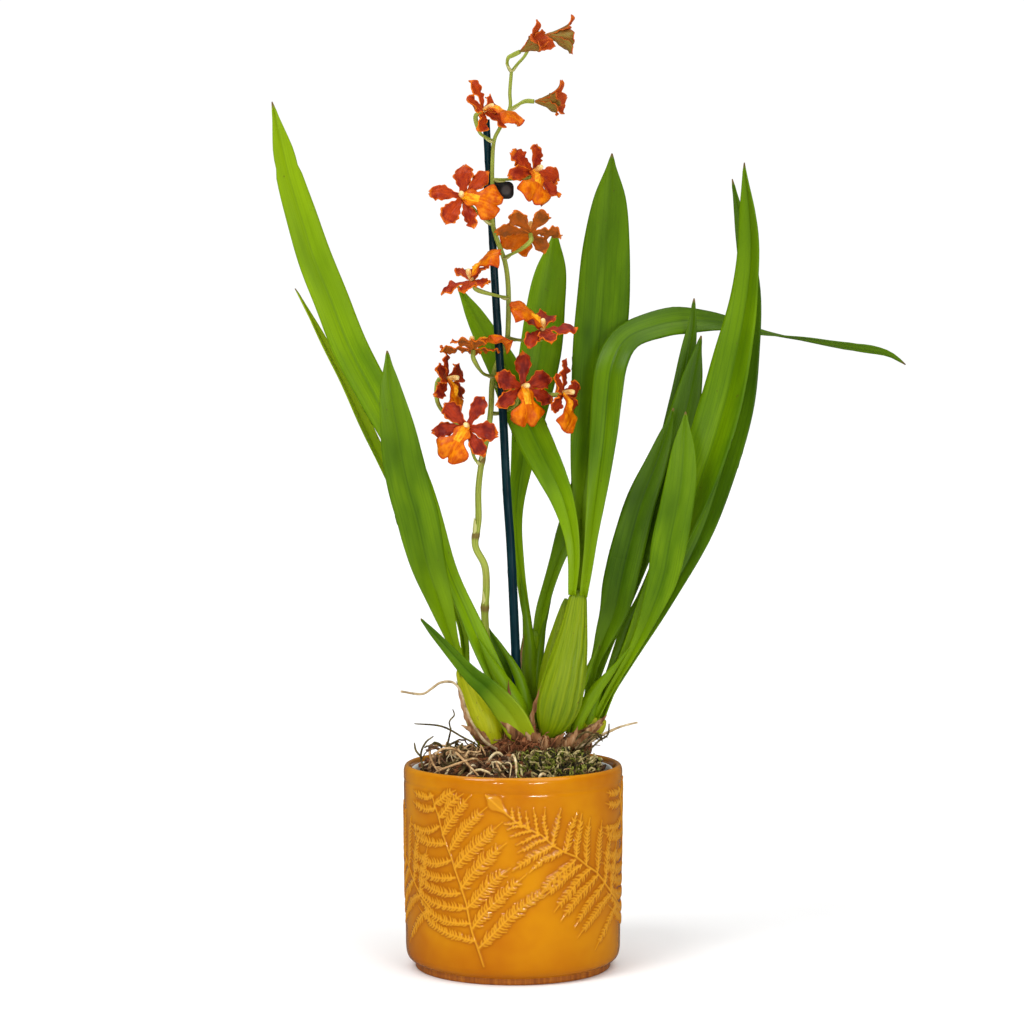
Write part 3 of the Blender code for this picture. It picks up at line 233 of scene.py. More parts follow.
class Finish:
    """A new material with its Principled shader's plain values, and short ways to add nodes to it."""

    def __init__(self, name, roughness, **values):
        self.mat = bpy.data.materials.new(name)
        self.mat.use_nodes = True
        self.nodes = self.mat.node_tree.nodes
        self.link = self.mat.node_tree.links.new
        self.shader = self.nodes["Principled BSDF"]
        self.shader.inputs["Roughness"].default_value = roughness
        for socket, value in values.items():
            self.shader.inputs[socket.replace("_", " ")].default_value = value

    def place(self):
        """The place on the piece, in metres."""
        return self.nodes.new("ShaderNodeTexCoord").outputs["Object"]

    def attribute(self, name, output="Fac"):
        """An attribute of the piece's own mesh."""
        node = self.nodes.new("ShaderNodeAttribute")
        node.attribute_name = name
        return node.outputs[output]

    def axes(self, source):
        """The X, Y and Z of a vector."""
        node = self.nodes.new("ShaderNodeSeparateXYZ")
        self.link(source, node.inputs["Vector"])
        return node.outputs

    def noise(self, source, scale, detail, stretch=(1, 1, 1)):
        """A noise texture that reads the source through a Mapping node; scale is in cells a unit of it."""
        mapping = self.nodes.new("ShaderNodeMapping")
        mapping.inputs["Scale"].default_value = stretch
        self.link(source, mapping.inputs["Vector"])
        texture = self.nodes.new("ShaderNodeTexNoise")
        for socket, value in (("Scale", scale), ("Detail", detail), ("Roughness", 0.55)):
            texture.inputs[socket].default_value = value
        self.link(mapping.outputs["Vector"], texture.inputs["Vector"])
        return texture.outputs["Fac"]

    def ramp(self, source, *stops):
        """A colour ramp through stops of (place, colour)."""
        node = self.nodes.new("ShaderNodeValToRGB")
        spots = node.color_ramp.elements
        while len(spots) < len(stops):
            spots.new(0.5)
        for spot, (place, colour) in zip(spots, stops):
            spot.position = place
            spot.color = (*colour, 1)
        self.link(source, node.inputs["Fac"])
        return node.outputs["Color"]

    def band(self, source, low, high, bottom=0.0, top=1.0):
        """A value that goes from bottom to top as the source goes from low to high."""
        node = self.nodes.new("ShaderNodeMapRange")
        for socket, value in (("From Min", low), ("From Max", high), ("To Min", bottom), ("To Max", top)):
            node.inputs[socket].default_value = value
        self.link(source, node.inputs["Value"])
        return node.outputs["Result"]

    def mixed(self, under, over, source, low, high, most=1.0):
        """Mixes one colour over another, from none of it where the source is low to the most where high."""
        node = self.nodes.new("ShaderNodeMix")
        node.data_type = "RGBA"
        self.link(self.band(source, low, high, 0.0, most), node.inputs[0])
        for socket, colour in ((node.inputs[6], under), (node.inputs[7], over)):
            if isinstance(colour, bpy.types.NodeSocket):
                self.link(colour, socket)
            else:
                socket.default_value = (*colour, 1)
        return node.outputs[2]

    def done(self, colour, height=None, distance=0.0, strength=0.0):
        """Gives the shader its colour and a bump of so many millimetres, and returns the material."""
        self.link(colour, self.shader.inputs["Base Color"])
        if height is not None:
            node = self.nodes.new("ShaderNodeBump")
            node.inputs["Distance"].default_value = distance * MM
            node.inputs["Strength"].default_value = strength
            self.link(height, node.inputs["Height"])
            self.link(node.outputs["Normal"], self.shader.inputs["Normal"])
        return self.mat


def amber_glaze():
    """Amber glaze: dark beside the ridges, where it pooled and as painted shade, and at the foot; pale where
    it ran thin.
    """
    finish = Finish("amber_glaze", 0.22, Specular_IOR_Level=0.10, Coat_Weight=0.7, Coat_Roughness=0.03,
                    Coat_IOR=1.4)
    place = finish.place()
    height = finish.axes(place)["Z"]
    body = finish.ramp(finish.noise(place, 22, 3.0), (0.3, (0.41, 0.117, 0.0)), (0.5, (0.49, 0.170, 0.0)),
                       (0.72, (0.57, 0.228, 0.0)))
    # The dark amber beside the ridges is partly pooled glaze and partly painted shade in the grooves between
    # the teeth.
    pooled_and_shaded = finish.mixed(body, (0.28, 0.060, 0.0), finish.attribute("pool_and_shade"), 0.0, 1.0, 0.95)
    pale = finish.mixed(pooled_and_shaded, (0.72, 0.34, 0.016), finish.attribute("ridge"), 0.14, 0.58, 0.75)
    thin = finish.mixed(pale, (0.58, 0.24, 0.008), height, 0.1285, 0.1305, 0.5)
    low = finish.mixed(thin, (0.34, 0.090, 0.0), height, 0.030, 0.006, 0.5)
    return finish.done(low, finish.noise(place, 60, 2.0), 0.5, 0.6)


def bare_foot():
    """The unglazed foot band: red-brown clay with fine upright streaks."""
    finish = Finish("bare_foot", 0.5, Specular_IOR_Level=0.3)
    drags = finish.noise(finish.place(), 420, 4.0, (1, 1, 0.05))
    colour = finish.ramp(drags, (0.3, (0.22, 0.055, 0.004)), (0.5, (0.36, 0.10, 0.005)),
                         (0.75, (0.50, 0.17, 0.010)))
    return finish.done(colour, drags, 0.25, 0.6)


bm = bmesh.new()
turned(bm, pot_profile(), POT_STEPS)
for face in bm.faces:
    middle = face.calc_center_median()
    if middle.z < FOOT_BAND_TOP * MM and middle.to_2d().length < FOOT_BAND_RADIUS * MM:
        face.material_index = 1
glaze = amber_glaze()
pot_body = finished("pot_body", bm, (glaze, bare_foot()), 60)
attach(pot_body, "root")
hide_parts("pot")

relief = fern_relief()
relief = (1 - RELIEF_SOFTNESS) * relief + RELIEF_SOFTNESS * soft(relief, 1)
# Darker beside and between the ridges: pooled glaze, and painted shade in the grooves.
beside = np.clip((soft(soft(relief, 2), 1) - relief * 0.75) * 3.4, 0, 1) * 0.75
beside += np.clip(soft(soft(relief, 5), 4) * 1.2, 0, 0.25)
panel_span = 360 / len(FERN_PANELS)
for number, name in enumerate(FERN_PANELS):
    bm = bmesh.new()
    bmesh.ops.create_grid(bm, x_segments=PANEL_COLUMNS, y_segments=WALL_ROWS - 1, size=1)
    backs = []
    for side in (-1, 1):
        border = [edge for edge in bm.edges if all(abs(vert.co.y - side) < 1e-4 for vert in edge.verts)]
        made = bmesh.ops.extrude_edge_only(bm, edges=border)["geom"]
        bmesh.ops.translate(bm, verts=[item for item in made if isinstance(item, bmesh.types.BMVert)],
                            vec=(0, 0, -1))
        backs += [item for item in made if isinstance(item, bmesh.types.BMEdge)]
    bmesh.ops.bridge_loops(bm, edges=[edge for edge in backs if all(vert.co.z < -0.5 for vert in edge.verts)])
    bmesh.ops.holes_fill(bm, edges=[edge for edge in bm.edges if edge.is_boundary], sides=0)
    ridge = bm.verts.layers.float.new("ridge")
    pool_and_shade = bm.verts.layers.float.new("pool_and_shade")
    for vert in bm.verts:
        row = round((vert.co.y + 1) / 2 * (WALL_ROWS - 1))
        share = (vert.co.x + 1) / 2
        column = (round(share * PANEL_COLUMNS) - PANEL_COLUMNS // 2) % PANEL_COLUMNS
        turn = math.radians(panel_span * (share + number) - panel_span / 2)
        height = WALL_LOW + row * (WALL_HIGH - WALL_LOW) / (WALL_ROWS - 1)
        radius = bare_wall(height)
        if vert.co.z < -0.5:
            radius -= PANEL_DEPTH
        else:
            radius += relief[row, column] * RELIEF_HEIGHT
            vert[ridge] = relief[row, column]
            vert[pool_and_shade] = beside[row, column]
        vert.co = Vector((radius * math.sin(turn), -radius * math.cos(turn), height)) * MM
    bmesh.ops.recalc_face_normals(bm, faces=bm.faces)
    panel = finished(name, bm, (glaze,), 60)
    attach(panel, "root")


# The grower's pot inside it is thin moulded plastic, pale grey, with a rolled rim that shows just
# inside the cover pot's lip. It stands on the cover pot's floor, a little to the left.
LINER_SHIFT = -0.6
LINER_PROFILE = (
    (0, 6.3), (30, 6.3), (48.6, 6.3), (50, 7.2), (55.2, 52), (60.5, 100), (62.3, 116), (62.7, 123),
    (63.2, 124.2), (64.2, 124.5), (64.6, 125.2), (64.6, 126.8), (64.3, 127.4), (63.8, 127.6),
    (63.3, 127.5), (62.7, 126.9), (62.0, 125.2), (61.6, 123.6), (61.3, 117), (59.3, 100), (54, 52),
    (48.8, 8.2), (47, 7.5), (30, 7.5), (0, 7.5),
)
finish = Finish("liner_plastic", 0.42)
place = finish.place()
grime = finish.noise(place, 60, 4.0, (1, 1, 0.3))
colour = finish.ramp(grime, (0.35, (0.62, 0.64, 0.60)), (0.6, (0.74, 0.76, 0.73)), (0.8, (0.55, 0.55, 0.48)))
liner_plastic = finish.done(colour, finish.noise(place, 900, 2.0), 0.05, 0.4)
bm = bmesh.new()
turned(bm, LINER_PROFILE, 120, (LINER_SHIFT, 0, 0))
liner = finished("liner", bm, (liner_plastic,), 60)
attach(liner, "root")
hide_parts("liner_pot")


# The growing medium is a mound of composted bark. Loose chips lie on it in every direction, with
# dry curled roots from earlier growths and a few straws drawn through them.
MOUND_RADIUS = 60
MOUND_FOOT = 125.0
MOUND_RISE = 12.5
MOUND_RINGS = 30
CHIPS = 560
CHIP_REACH = 59
LYING_STRANDS = 170
LYING_REACH = 58.5
PILED_ROOTS = 105
KEY_ROOTS = (
    ((-24, -24, 134), (-33, -30, 142), (-44, -33, 144), (-52, -29, 136), (-53, -24, 128)),
    ((-20, -30, 134), (-24, -42, 139), (-34, -49, 137), (-45, -42, 132), (-50, -33, 128)),
    ((-30, -12, 134), (-42, -14, 143), (-52, -22, 143), (-51, -33, 136), (-45, -39, 128)),
    ((-4, -32, 134), (-10, -44, 137), (-8, -53, 133), (-3, -55, 127)),
    ((-26, -36, 133), (-36, -41, 143), (-30, -48, 138), (-20, -52, 128)),
    ((-38, 20, 131), (-44, 30, 135), (-34, 40, 135), (-22, 46, 127)),
)
TWIG = (
    ((-18, -24, 134), (-21, -26, 144), (-32, -29, 151), (-45, -31, 158), (-62, -34, 160)),
    ((-39, -30, 155), (-40, -31, 161), (-37, -31, 165), (-38, -31, 169)),
    ((-46, -31, 134), (-42, -31, 144), (-40, -31, 152), (-39, -30, 157)),
    ((-42, -31, 145), (-37, -32, 148), (-34, -32, 149)),
    ((-56, -33, 128), (-58, -33, 140), (-55, -34, 148), (-50, -33, 152)),
    ((-57, -33, 138), (-61, -34, 143), (-62, -34, 148)),
    ((42, -18, 140), (49, -21, 148), (55, -19, 151), (60, -15, 149)),
    ((48, -16, 140), (54, -20, 147), (60, -19, 151), (61, -17, 158)),
    ((38, -22, 140), (45, -26, 148), (52, -24, 152), (57, -20, 147)),
    ((46, -22, 138), (50, -26, 144), (56, -22, 150), (52, -16, 152)),
    ((36, -20, 141), (41, -22, 150), (48, -20, 153), (55, -18, 147)),
)
STRAW = ((-2, -27, 134), (0, -40, 141), (2, -51, 137), (2, -56, 128))


def mound_height(x, y):
    """The height of the bark's top at a place, in millimetres: a low dome with slow hollows."""
    reach = min(math.hypot(x, y) / (MOUND_RADIUS + 1), 1.0)
    rough = math.sin(x * 0.21 + 1.3) * math.cos(y * 0.19) * 1.1
    return MOUND_FOOT + MOUND_RISE * (1 - reach ** 2.4) + rough * (1 - reach)


def rounded(four, s):
    """A smooth step from the second of four values or points to the third, as s goes from 0 to 1."""
    a, b, c, d = four
    return (b * 2 + (c - a) * s + (a * 2 - b * 5 + c * 4 - d) * s ** 2
            + (b * 3 - a - c * 3 + d) * s ** 3) / 2


class Path:
    """A smooth curve through the given points, read at a share of its length."""

    def __init__(self, points):
        knots = [Vector(point) for point in points]
        ends = [knots[0] * 2 - knots[1], *knots, knots[-1] * 2 - knots[-2]]
        self.dense = [knots[0]]
        for k in range(1, len(ends) - 2):
            for step in range(1, 9):
                self.dense.append(rounded(ends[k - 1:k + 3], step / 8))
        self.reach = [0.0]
        for a, b in zip(self.dense, self.dense[1:]):
            self.reach.append(self.reach[-1] + (b - a).length)
        self.length = self.reach[-1]

    def at(self, share):
        """The place at a share of the length."""
        goal = min(max(share, 0.0), 1.0) * self.length
        k = min(max(int(np.searchsorted(self.reach, goal)), 1), len(self.reach) - 1)
        span = self.reach[k] - self.reach[k - 1]
        return self.dense[k - 1].lerp(self.dense[k], (goal - self.reach[k - 1]) / span)

    def heading(self, share):
        """The way the path runs there."""
        return (self.at(share + 0.02) - self.at(share - 0.02)).normalized()


def strands(name, runs, thickness, materials):
    """A bundle of thin strands as one mesh: runs are (points, share of the thickness, material number)."""
    curve = bpy.data.curves.new(name, 'CURVE')
    curve.dimensions = '3D'
    curve.bevel_depth = thickness * MM
    curve.bevel_resolution = 0
    curve.use_fill_caps = True
    for mat in materials:
        curve.materials.append(mat)
    for points, share, kind in runs:
        spline = curve.splines.new('POLY')
        spline.points.add(len(points) - 1)
        for k, (spot, point) in enumerate(zip(spline.points, points)):
            spot.co = (*(Vector(point) * MM), 1)
            end = abs(2 * k / (len(points) - 1) - 1)
            spot.radius = share * (1 - 0.45 * end ** 3)
        spline.material_index = kind
    holder = bpy.data.objects.new(name + "_lines", curve)
    bpy.context.scene.collection.objects.link(holder)
    bpy.context.view_layer.update()
    mesh = bpy.data.meshes.new_from_object(holder.evaluated_get(bpy.context.evaluated_depsgraph_get()))
    bpy.data.objects.remove(holder)
    mesh.name = name
    item = bpy.data.objects.new(name, mesh)
    bpy.context.scene.collection.objects.link(item)
    mesh.shade_smooth()
    return item


def earthy(name, dark, mid, light, scale=240, roughness=0.9, grain=(1, 1, 1)):
    """A dull natural finish: three tones in fine noise, with a rough bump. The grain stretches both."""
    finish = Finish(name, roughness, Specular_IOR_Level=0.2)
    speckle = finish.noise(finish.place(), scale, 5.0, grain)
    return finish.done(finish.ramp(speckle, (0.32, dark), (0.5, mid), (0.7, light)), speckle, 0.5, 0.7)


bark_tones = (
    earthy("bark_brown", (0.016, 0.006, 0.002), (0.060, 0.025, 0.010), (0.16, 0.075, 0.032)),
    earthy("bark_red", (0.035, 0.011, 0.004), (0.15, 0.050, 0.016), (0.30, 0.12, 0.045)),
    earthy("bark_grey", (0.030, 0.020, 0.013), (0.11, 0.075, 0.045), (0.28, 0.20, 0.13)),
)


def joined(bm, extra):
    """Adds the second bmesh to the first and clears it away."""
    mesh = bpy.data.meshes.new("extra")
    extra.to_mesh(mesh)
    extra.free()
    bm.from_mesh(mesh)
    bpy.data.meshes.remove(mesh)


bm = bmesh.new()
flat_top = [(MOUND_RADIUS * k / MOUND_RINGS, 130.0) for k in range(MOUND_RINGS + 1)]
turned(bm, flat_top + [(60, 118), (59, 100), (48.4, 7.8), (0, 7.8)], 96)
lumps = random.Random(3)
for vert in bm.verts:
    if vert.co.z > MOUND_FOOT * MM:
        x, y = vert.co.x / MM, vert.co.y / MM
        lift = lumps.uniform(-0.9, 0.9) if math.hypot(x, y) < CHIP_REACH else 0.0
        vert.co.z = (mound_height(x, y) - 1.4 + lift) * MM
bmesh.ops.translate(bm, verts=bm.verts, vec=(LINER_SHIFT * MM, 0, 0))
for face in bm.faces:
    face.material_index = lumps.choice((0, 0, 1))

chance = random.Random(21)
lying = bmesh.new()
for number in range(CHIPS):
    turn = chance.uniform(0, math.tau)
    reach = CHIP_REACH * math.sqrt(chance.uniform(0, 1))
    size = [chance.uniform(4, 11), chance.uniform(2.5, 6), chance.uniform(1.2, 3)]
    reach = min(reach, MOUND_RADIUS - size[0] / 2)
    x, y = reach * math.cos(turn), reach * math.sin(turn)
    tilt = Matrix.Rotation(chance.uniform(0, math.tau), 4, 'Z')
    for spread, axis in ((0.4, 'X'), (0.3, 'Y')):
        tilt = tilt @ Matrix.Rotation(chance.gauss(0, spread), 4, axis)
    height = mound_height(x, y) + chance.uniform(-1.2, 1.4)
    place = Matrix.Translation(Vector((x + LINER_SHIFT, y, height)) * MM)
    shape = Matrix.Diagonal(Vector(size) * MM).to_4x4()
    made = bmesh.ops.create_cube(lying, size=1, matrix=place @ tilt @ shape)["verts"]
    kind = chance.choice((0, 0, 1, 1, 2))
    for vert in made:
        vert.co += Vector([chance.uniform(-0.7, 0.7) for _ in range(3)]) * MM
        for face in vert.link_faces:
            face.material_index = kind
bmesh.ops.bevel(lying, geom=lying.edges[:], offset=0.45 * MM, offset_type='OFFSET', segments=1, profile=0.5,
                affect='EDGES', material=-1)
joined(bm, lying)
bark = finished("bark_mix", bm, bark_tones, 35)
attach(bark, "root")
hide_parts("growing_medium")

dry_tones = (
    earthy("root_tan", (0.16, 0.075, 0.030), (0.42, 0.25, 0.11), (0.72, 0.51, 0.28), 300),
    earthy("root_brown", (0.030, 0.012, 0.006), (0.10, 0.048, 0.022), (0.25, 0.14, 0.075), 300),
    earthy("straw", (0.40, 0.29, 0.13), (0.66, 0.51, 0.28), (0.85, 0.73, 0.48), 300),
    earthy("root_dark", (0.020, 0.012, 0.003), (0.070, 0.050, 0.014), (0.17, 0.13, 0.045), 300),
)
ROOT_MIX = (0, 0, 1, 1, 1, 2, 3, 3, 3)


def curl(start, heading, length, turning, wobble, chance):
    """A short path of nine points that bends over the mound, arched up in its middle."""
    spots = []
    points = 9
    x, y = start
    step = length / (points - 1)
    rise = chance.uniform(1.0, 5.5)
    for k in range(points):
        reach = math.hypot(x, y)
        if reach > LYING_REACH:
            x, y = x * LYING_REACH / reach, y * LYING_REACH / reach
        height = mound_height(x, y) + rise * math.sin(math.pi * k / (points - 1)) + 0.4
        spots.append((x + LINER_SHIFT, y, height))
        heading += turning * step + chance.uniform(-wobble, wobble)
        x += step * math.cos(heading)
        y += step * math.sin(heading)
    return spots


def wander(start, steps, stride, wobble, ceiling, chance):
    """A wiry path that loops through the air over the mound, inside the rim and under the ceiling."""
    spots = []
    spot = Vector(start)
    way = Vector([chance.gauss(0, 1) for _ in range(3)]).normalized()
    for _ in range(steps):
        spots.append(spot.copy())
        way = (way + Vector([chance.gauss(0, wobble) for _ in range(3)])).normalized()
        spot += way * stride
        reach = math.hypot(spot.x, spot.y)
        if reach > MOUND_RADIUS:
            spot.x, spot.y = spot.x * MOUND_RADIUS / reach, spot.y * MOUND_RADIUS / reach
            way.x, way.y = -way.x, -way.y
        ground = mound_height(spot.x, spot.y) + 0.6
        if spot.z < ground:
            spot.z = ground
            way.z = abs(way.z) * 0.6
        if spot.z > ceiling:
            way.z = -abs(way.z) - 0.2
    return spots


chance = random.Random(33)
runs = []
for number in range(LYING_STRANDS):
    turn = chance.uniform(0, math.tau)
    reach = 56 * math.sqrt(chance.uniform(0.1, 1))
    start = (reach * math.cos(turn), reach * math.sin(turn))
    kind = chance.choice(ROOT_MIX)
    heading, length, turning = chance.uniform(0, math.tau), chance.uniform(6, 22), chance.uniform(-0.2, 0.2)
    runs.append((curl(start, heading, length, turning, 0.3, chance), chance.uniform(0.5, 1.9), kind))
for number in range(PILED_ROOTS):
    x, y = chance.gauss(-38, 11), chance.gauss(-24, 17)
    if number % 4 == 0:
        x, y = chance.gauss(20, 26), chance.gauss(-34, 14)
    reach = max(1.0, math.hypot(x, y) / 57)
    x, y = x / reach, y / reach
    ground = mound_height(x, y)
    heap = 13 * math.exp(-((x + 40) / 17) ** 2 - ((y + 24) / 24) ** 2)
    start = (x, y, ground + chance.uniform(0.5, 2 + heap))
    runs.append((wander(start, chance.randint(8, 15), 2.1, 0.42, ground + 3 + heap, chance),
                 chance.uniform(0.5, 2.0), chance.choice(ROOT_MIX)))
for lines, share, kind in ((KEY_ROOTS, 1.5, 0), ((STRAW,), 1.7, 2), (TWIG, 1.2, 3)):
    for points in lines:
        path = Path(points)
        runs.append(([path.at(k / 22) for k in range(23)], share, kind))
dry = strands("dry_roots", runs, 0.55, dry_tones)
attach(dry, "root")


# The moss is a cushion of fine green and straw-coloured stems at the mound's front right. It was
# laid on the bark by hand, so its strands curl every way, and many have dried pale or brown.
MOSS_STRANDS = 1300
MOSS_DIRECTION = -82
MOSS_TURN = 26
MOSS_NEAR = 32
MOSS_DEPTH = 25
# moss_shade is painted shade: near-black strands and the sheet under them stand for the shadow deep among the
# stems.
moss_tones = (
    earthy("moss_green", (0.024, 0.026, 0.002), (0.105, 0.115, 0.010), (0.28, 0.29, 0.055), 300, 0.95),
    earthy("moss_olive", (0.032, 0.022, 0.006), (0.14, 0.095, 0.032), (0.36, 0.28, 0.13), 300, 0.95),
    earthy("moss_dry", (0.17, 0.125, 0.040), (0.42, 0.34, 0.14), (0.72, 0.62, 0.34), 300, 0.95),
    earthy("moss_shade", (0.007, 0.006, 0.002), (0.025, 0.020, 0.007), (0.07, 0.055, 0.02), 300, 0.95),
)


def on_moss(u, t):
    """A place on the cushion: u goes from -1 to 1 round the mound, t from 0 to 1 outwards."""
    turn = math.radians(MOSS_DIRECTION + MOSS_TURN * (u + 1))
    reach = MOSS_NEAR + MOSS_DEPTH * t
    return reach * math.cos(turn), reach * math.sin(turn), max(abs(u), abs(2 * t - 1))


chance = random.Random(57)
runs = []
for number in range(MOSS_STRANDS):
    u = max(-1.3, min(1.3, chance.gauss(0.3, 0.65)))
    t = max(-0.25, min(1.0, chance.gauss(0.55, 0.38)))
    x, y, edge = on_moss(u, t)
    heap = 9.0 * math.exp(-((x - 47) / 11) ** 2 - ((y + 20) / 17) ** 2)
    ground = mound_height(x, y) + 1.0 + 3.0 * (1 - min(1.0, edge) ** 4) + heap * chance.uniform(0, 1)
    # Kind 3 is the moss_shade tone: those strands are painted shade.
    steps, stride, room, thick, mix = 6, 1.15, 3.0, 1.1, (0, 0, 1, 1, 3, 3)
    if number % 3 == 0:
        steps, stride, room, thick, mix = 10, 1.5, 6.0, 2.3, (0, 0, 1, 2, 2, 3)
    start = (x, y, ground + chance.uniform(-0.8, 1.0))
    points = wander(start, steps, stride, 0.5, ground + room, chance)
    kind = chance.choice(mix)
    runs.append((points, chance.uniform(0.5, 1.15) * thick, kind))
tufts = strands("moss_tufts", runs, 0.36, moss_tones)
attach(tufts, "root")

# The sheet under the strands takes the near-black moss_shade tone: painted shade in the gaps between the
# stems.
bm = bmesh.new()
bmesh.ops.create_grid(bm, x_segments=40, y_segments=16, size=1)
chance = random.Random(58)
for vert in bm.verts:
    x, y, edge = on_moss(vert.co.x, (vert.co.y + 1) / 2)
    lift = 0.3 + (2.6 + chance.uniform(-0.9, 0.9)) * (1 - edge ** 2)
    vert.co = Vector((x, y, mound_height(x, y) + lift)) * MM
skirt = bmesh.ops.extrude_edge_only(bm, edges=[edge for edge in bm.edges if edge.is_boundary])["geom"]
for item in skirt:
    if isinstance(item, bmesh.types.BMVert):
        item.co.z -= 1.2 * MM
bmesh.ops.holes_fill(bm, edges=[edge for edge in bm.edges if edge.is_boundary], sides=0)
bmesh.ops.recalc_face_normals(bm, faces=bm.faces)
cushion = finished("moss_shade_sheet", bm, (moss_tones[3],), 80)
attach(cushion, "root")
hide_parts("moss")


# The rhizome creeps along the mound: a woody, ringed stem with a back branch, wrapped in brown
# papery scales that fray into fibres, from which the bulbs rise one after another.
RHIZOME = (
    (-17, -4, 139.5), (-10, -8, 141), (0, -12, 142.5), (12, -14, 143), (24, -12, 142), (36, -4, 141),
    (48, 4, 141),
)
RHIZOME_RADII = (4.0, 5.6, 6.0, 6.0, 6.0, 5.6, 5.2)
RHIZOME_BRANCH = ((20, -12, 142), (19, 2, 142), (13, 12, 142), (14, 22, 142))
BRACTS = (
    ((29, -11, 143), (34, -12.5, 145.5), (41, -12.5, 149), (50, -10, 153), (58, -7, 157)),
    ((38, -7, 143), (45, -9, 148), (53, -7, 155), (60, -4, 162)),
)
SCALES = 54
FRONT_SCALES = 18
FIBRES = 260
FRONT_FIBRES = 45
DRY_SHEATHS = (
    (((10, -19, 142), (5, -21, 149), (-1, -22, 155), (-8, -23, 160)), 12),
    (((18, -21, 142), (16, -23.5, 148), (13, -23.5, 153), (11, -23, 158)), 9),
    (((14, -18, 142), (12, -21.5, 147), (9, -22.5, 152), (8, -22, 156)), 7),
    (((-14, -12, 143), (-20, -15, 149), (-27, -16, 154), (-33, -15, 157)), 9),
    (((28, -17, 142), (36, -19, 145), (45, -18, 150), (56, -14, 160)), 9),
    (((30, -20, 142), (35, -23, 146), (39, -23, 151), (41, -22, 157)), 7),
    (((22, -20, 140), (26, -23.5, 146), (30, -24, 150), (33, -24, 153)), 9),
    (((27, -18, 141), (34, -21.5, 145), (40, -22, 149), (45, -21, 152)), 9),
    (((20, -22, 139), (21, -25, 144), (21, -25.5, 148), (20, -25, 152)), 8),
    (((40, -12, 141), (46, -15, 146), (51, -15, 150), (55, -14, 152)), 9),
    (((-2, -10, 143), (-3, -13, 152), (-2, -14, 166), (-3, -14, 186)), 6),
    (((6, 12, 146), (4, 12, 160), (3, 12, 176), (5, 12, 192)), 7),
)


def smooth_along(values, share):
    """Reads a list of evenly spaced values at a share of its length, rounding its corners."""
    place = min(max(share, 0.0), 1.0) * (len(values) - 1)
    k = min(int(place), len(values) - 2)
    four = (values[max(k - 1, 0)], values[k], values[k + 1], values[min(k + 2, len(values) - 1)])
    return rounded(four, place - k)


def blade_layer(bm):
    """The attribute with the place across and along a piece in millimetres, and a share from 0 to 1."""
    return bm.verts.layers.float_vector.get("blade") or bm.verts.layers.float_vector.new("blade")


def tube(bm, points, radii, sides, stations, depth=1.0, swell=None):
    """Adds a closed tube along a smooth path, deeper or shallower than wide by the depth.

    swell(turn, t) scales its radius round and along it, and the attribute "full" holds that scale.
    """
    path = Path(points)
    layer = blade_layer(bm)
    full = bm.verts.layers.float.get("full") or bm.verts.layers.float.new("full")
    made = bmesh.ops.create_grid(bm, x_segments=sides, y_segments=stations, size=1)["verts"]
    rows = []
    for i in range(stations + 1):
        t = i / stations
        heading = path.heading(t)
        deep = Vector((0, 1, 0))
        deep = (deep - heading * deep.dot(heading)).normalized()
        rows.append((path.at(t), deep.cross(heading), deep, smooth_along(radii, t)))
    for vert in made:
        t = (vert.co.y + 1) / 2
        middle, wide, deep, radius = rows[round(t * stations)]
        turn = math.pi * (vert.co.x + 1)
        vert[full] = swell(turn, t) if swell else 1.0
        vert[layer] = (max(radii) * turn, t * path.length, t)
        radius *= vert[full]
        vert.co = (middle + wide * math.cos(turn) * radius + deep * math.sin(turn) * radius * depth) * MM
    skin = list({face for vert in made for face in vert.link_faces})
    bmesh.ops.remove_doubles(bm, verts=made, dist=0.0005 * MM)
    skin = [face for face in skin if face.is_valid]
    rims = list({edge for face in skin for edge in face.edges if edge.is_boundary})
    caps = bmesh.ops.holes_fill(bm, edges=rims, sides=0)["faces"]
    bmesh.ops.recalc_face_normals(bm, faces=skin + caps)


papery = earthy("papery_scale", (0.075, 0.028, 0.009), (0.23, 0.100, 0.036), (0.50, 0.32, 0.17), 230, 0.85,
                (1, 1, 0.22))
woody = earthy("rhizome_bark", (0.050, 0.014, 0.005), (0.18, 0.058, 0.020), (0.38, 0.16, 0.07), 260)
WOODY, PAPERY = 0, 1


def scale_leaf(bm, points, width, face_way, hollow, kind, rows, cols, ragged):
    """Adds a small thin sheath: a pointed, cupped blade with its own thickness and a torn edge."""
    path = Path(points)
    look = Vector(face_way).normalized()
    layer = blade_layer(bm)
    made = bmesh.ops.create_grid(bm, x_segments=cols, y_segments=rows, size=1)["verts"]
    bend = math.radians(hollow)
    for vert in made:
        u, t = vert.co.x, (vert.co.y + 1) / 2
        heading = path.heading(t)
        up = (look - heading * look.dot(heading)).normalized()
        side = heading.cross(up)
        half = width / 2 * (0.7 + 0.3 * math.sin(math.pi * min(1, t * 1.3))) * (1 - t ** 2.6) + 0.12
        half *= 1 + ragged * abs(u) * math.sin(t * 31 + points[0][0] + 2 * u)
        flutter = ragged * 1.6 * abs(u) * math.sin(t * 19 + points[0][1] + 3 * u) * t
        spot = path.at(t) + side * math.sin(bend * u) * half / bend
        spot += up * ((1 - math.cos(bend * u)) * half / bend + flutter)
        vert[layer] = (u * half, t * path.length, t)
        vert.co = spot * MM
    skin = list({face for vert in made for face in vert.link_faces})
    for face in skin:
        face.material_index = kind
    bmesh.ops.solidify(bm, geom=skin, thickness=0.3 * MM)


def rings(turn, t):
    """The rhizome's old growth rings."""
    return 1 + 0.05 * math.sin(t * 95) + 0.05 * math.cos(4 * turn + t * 9)


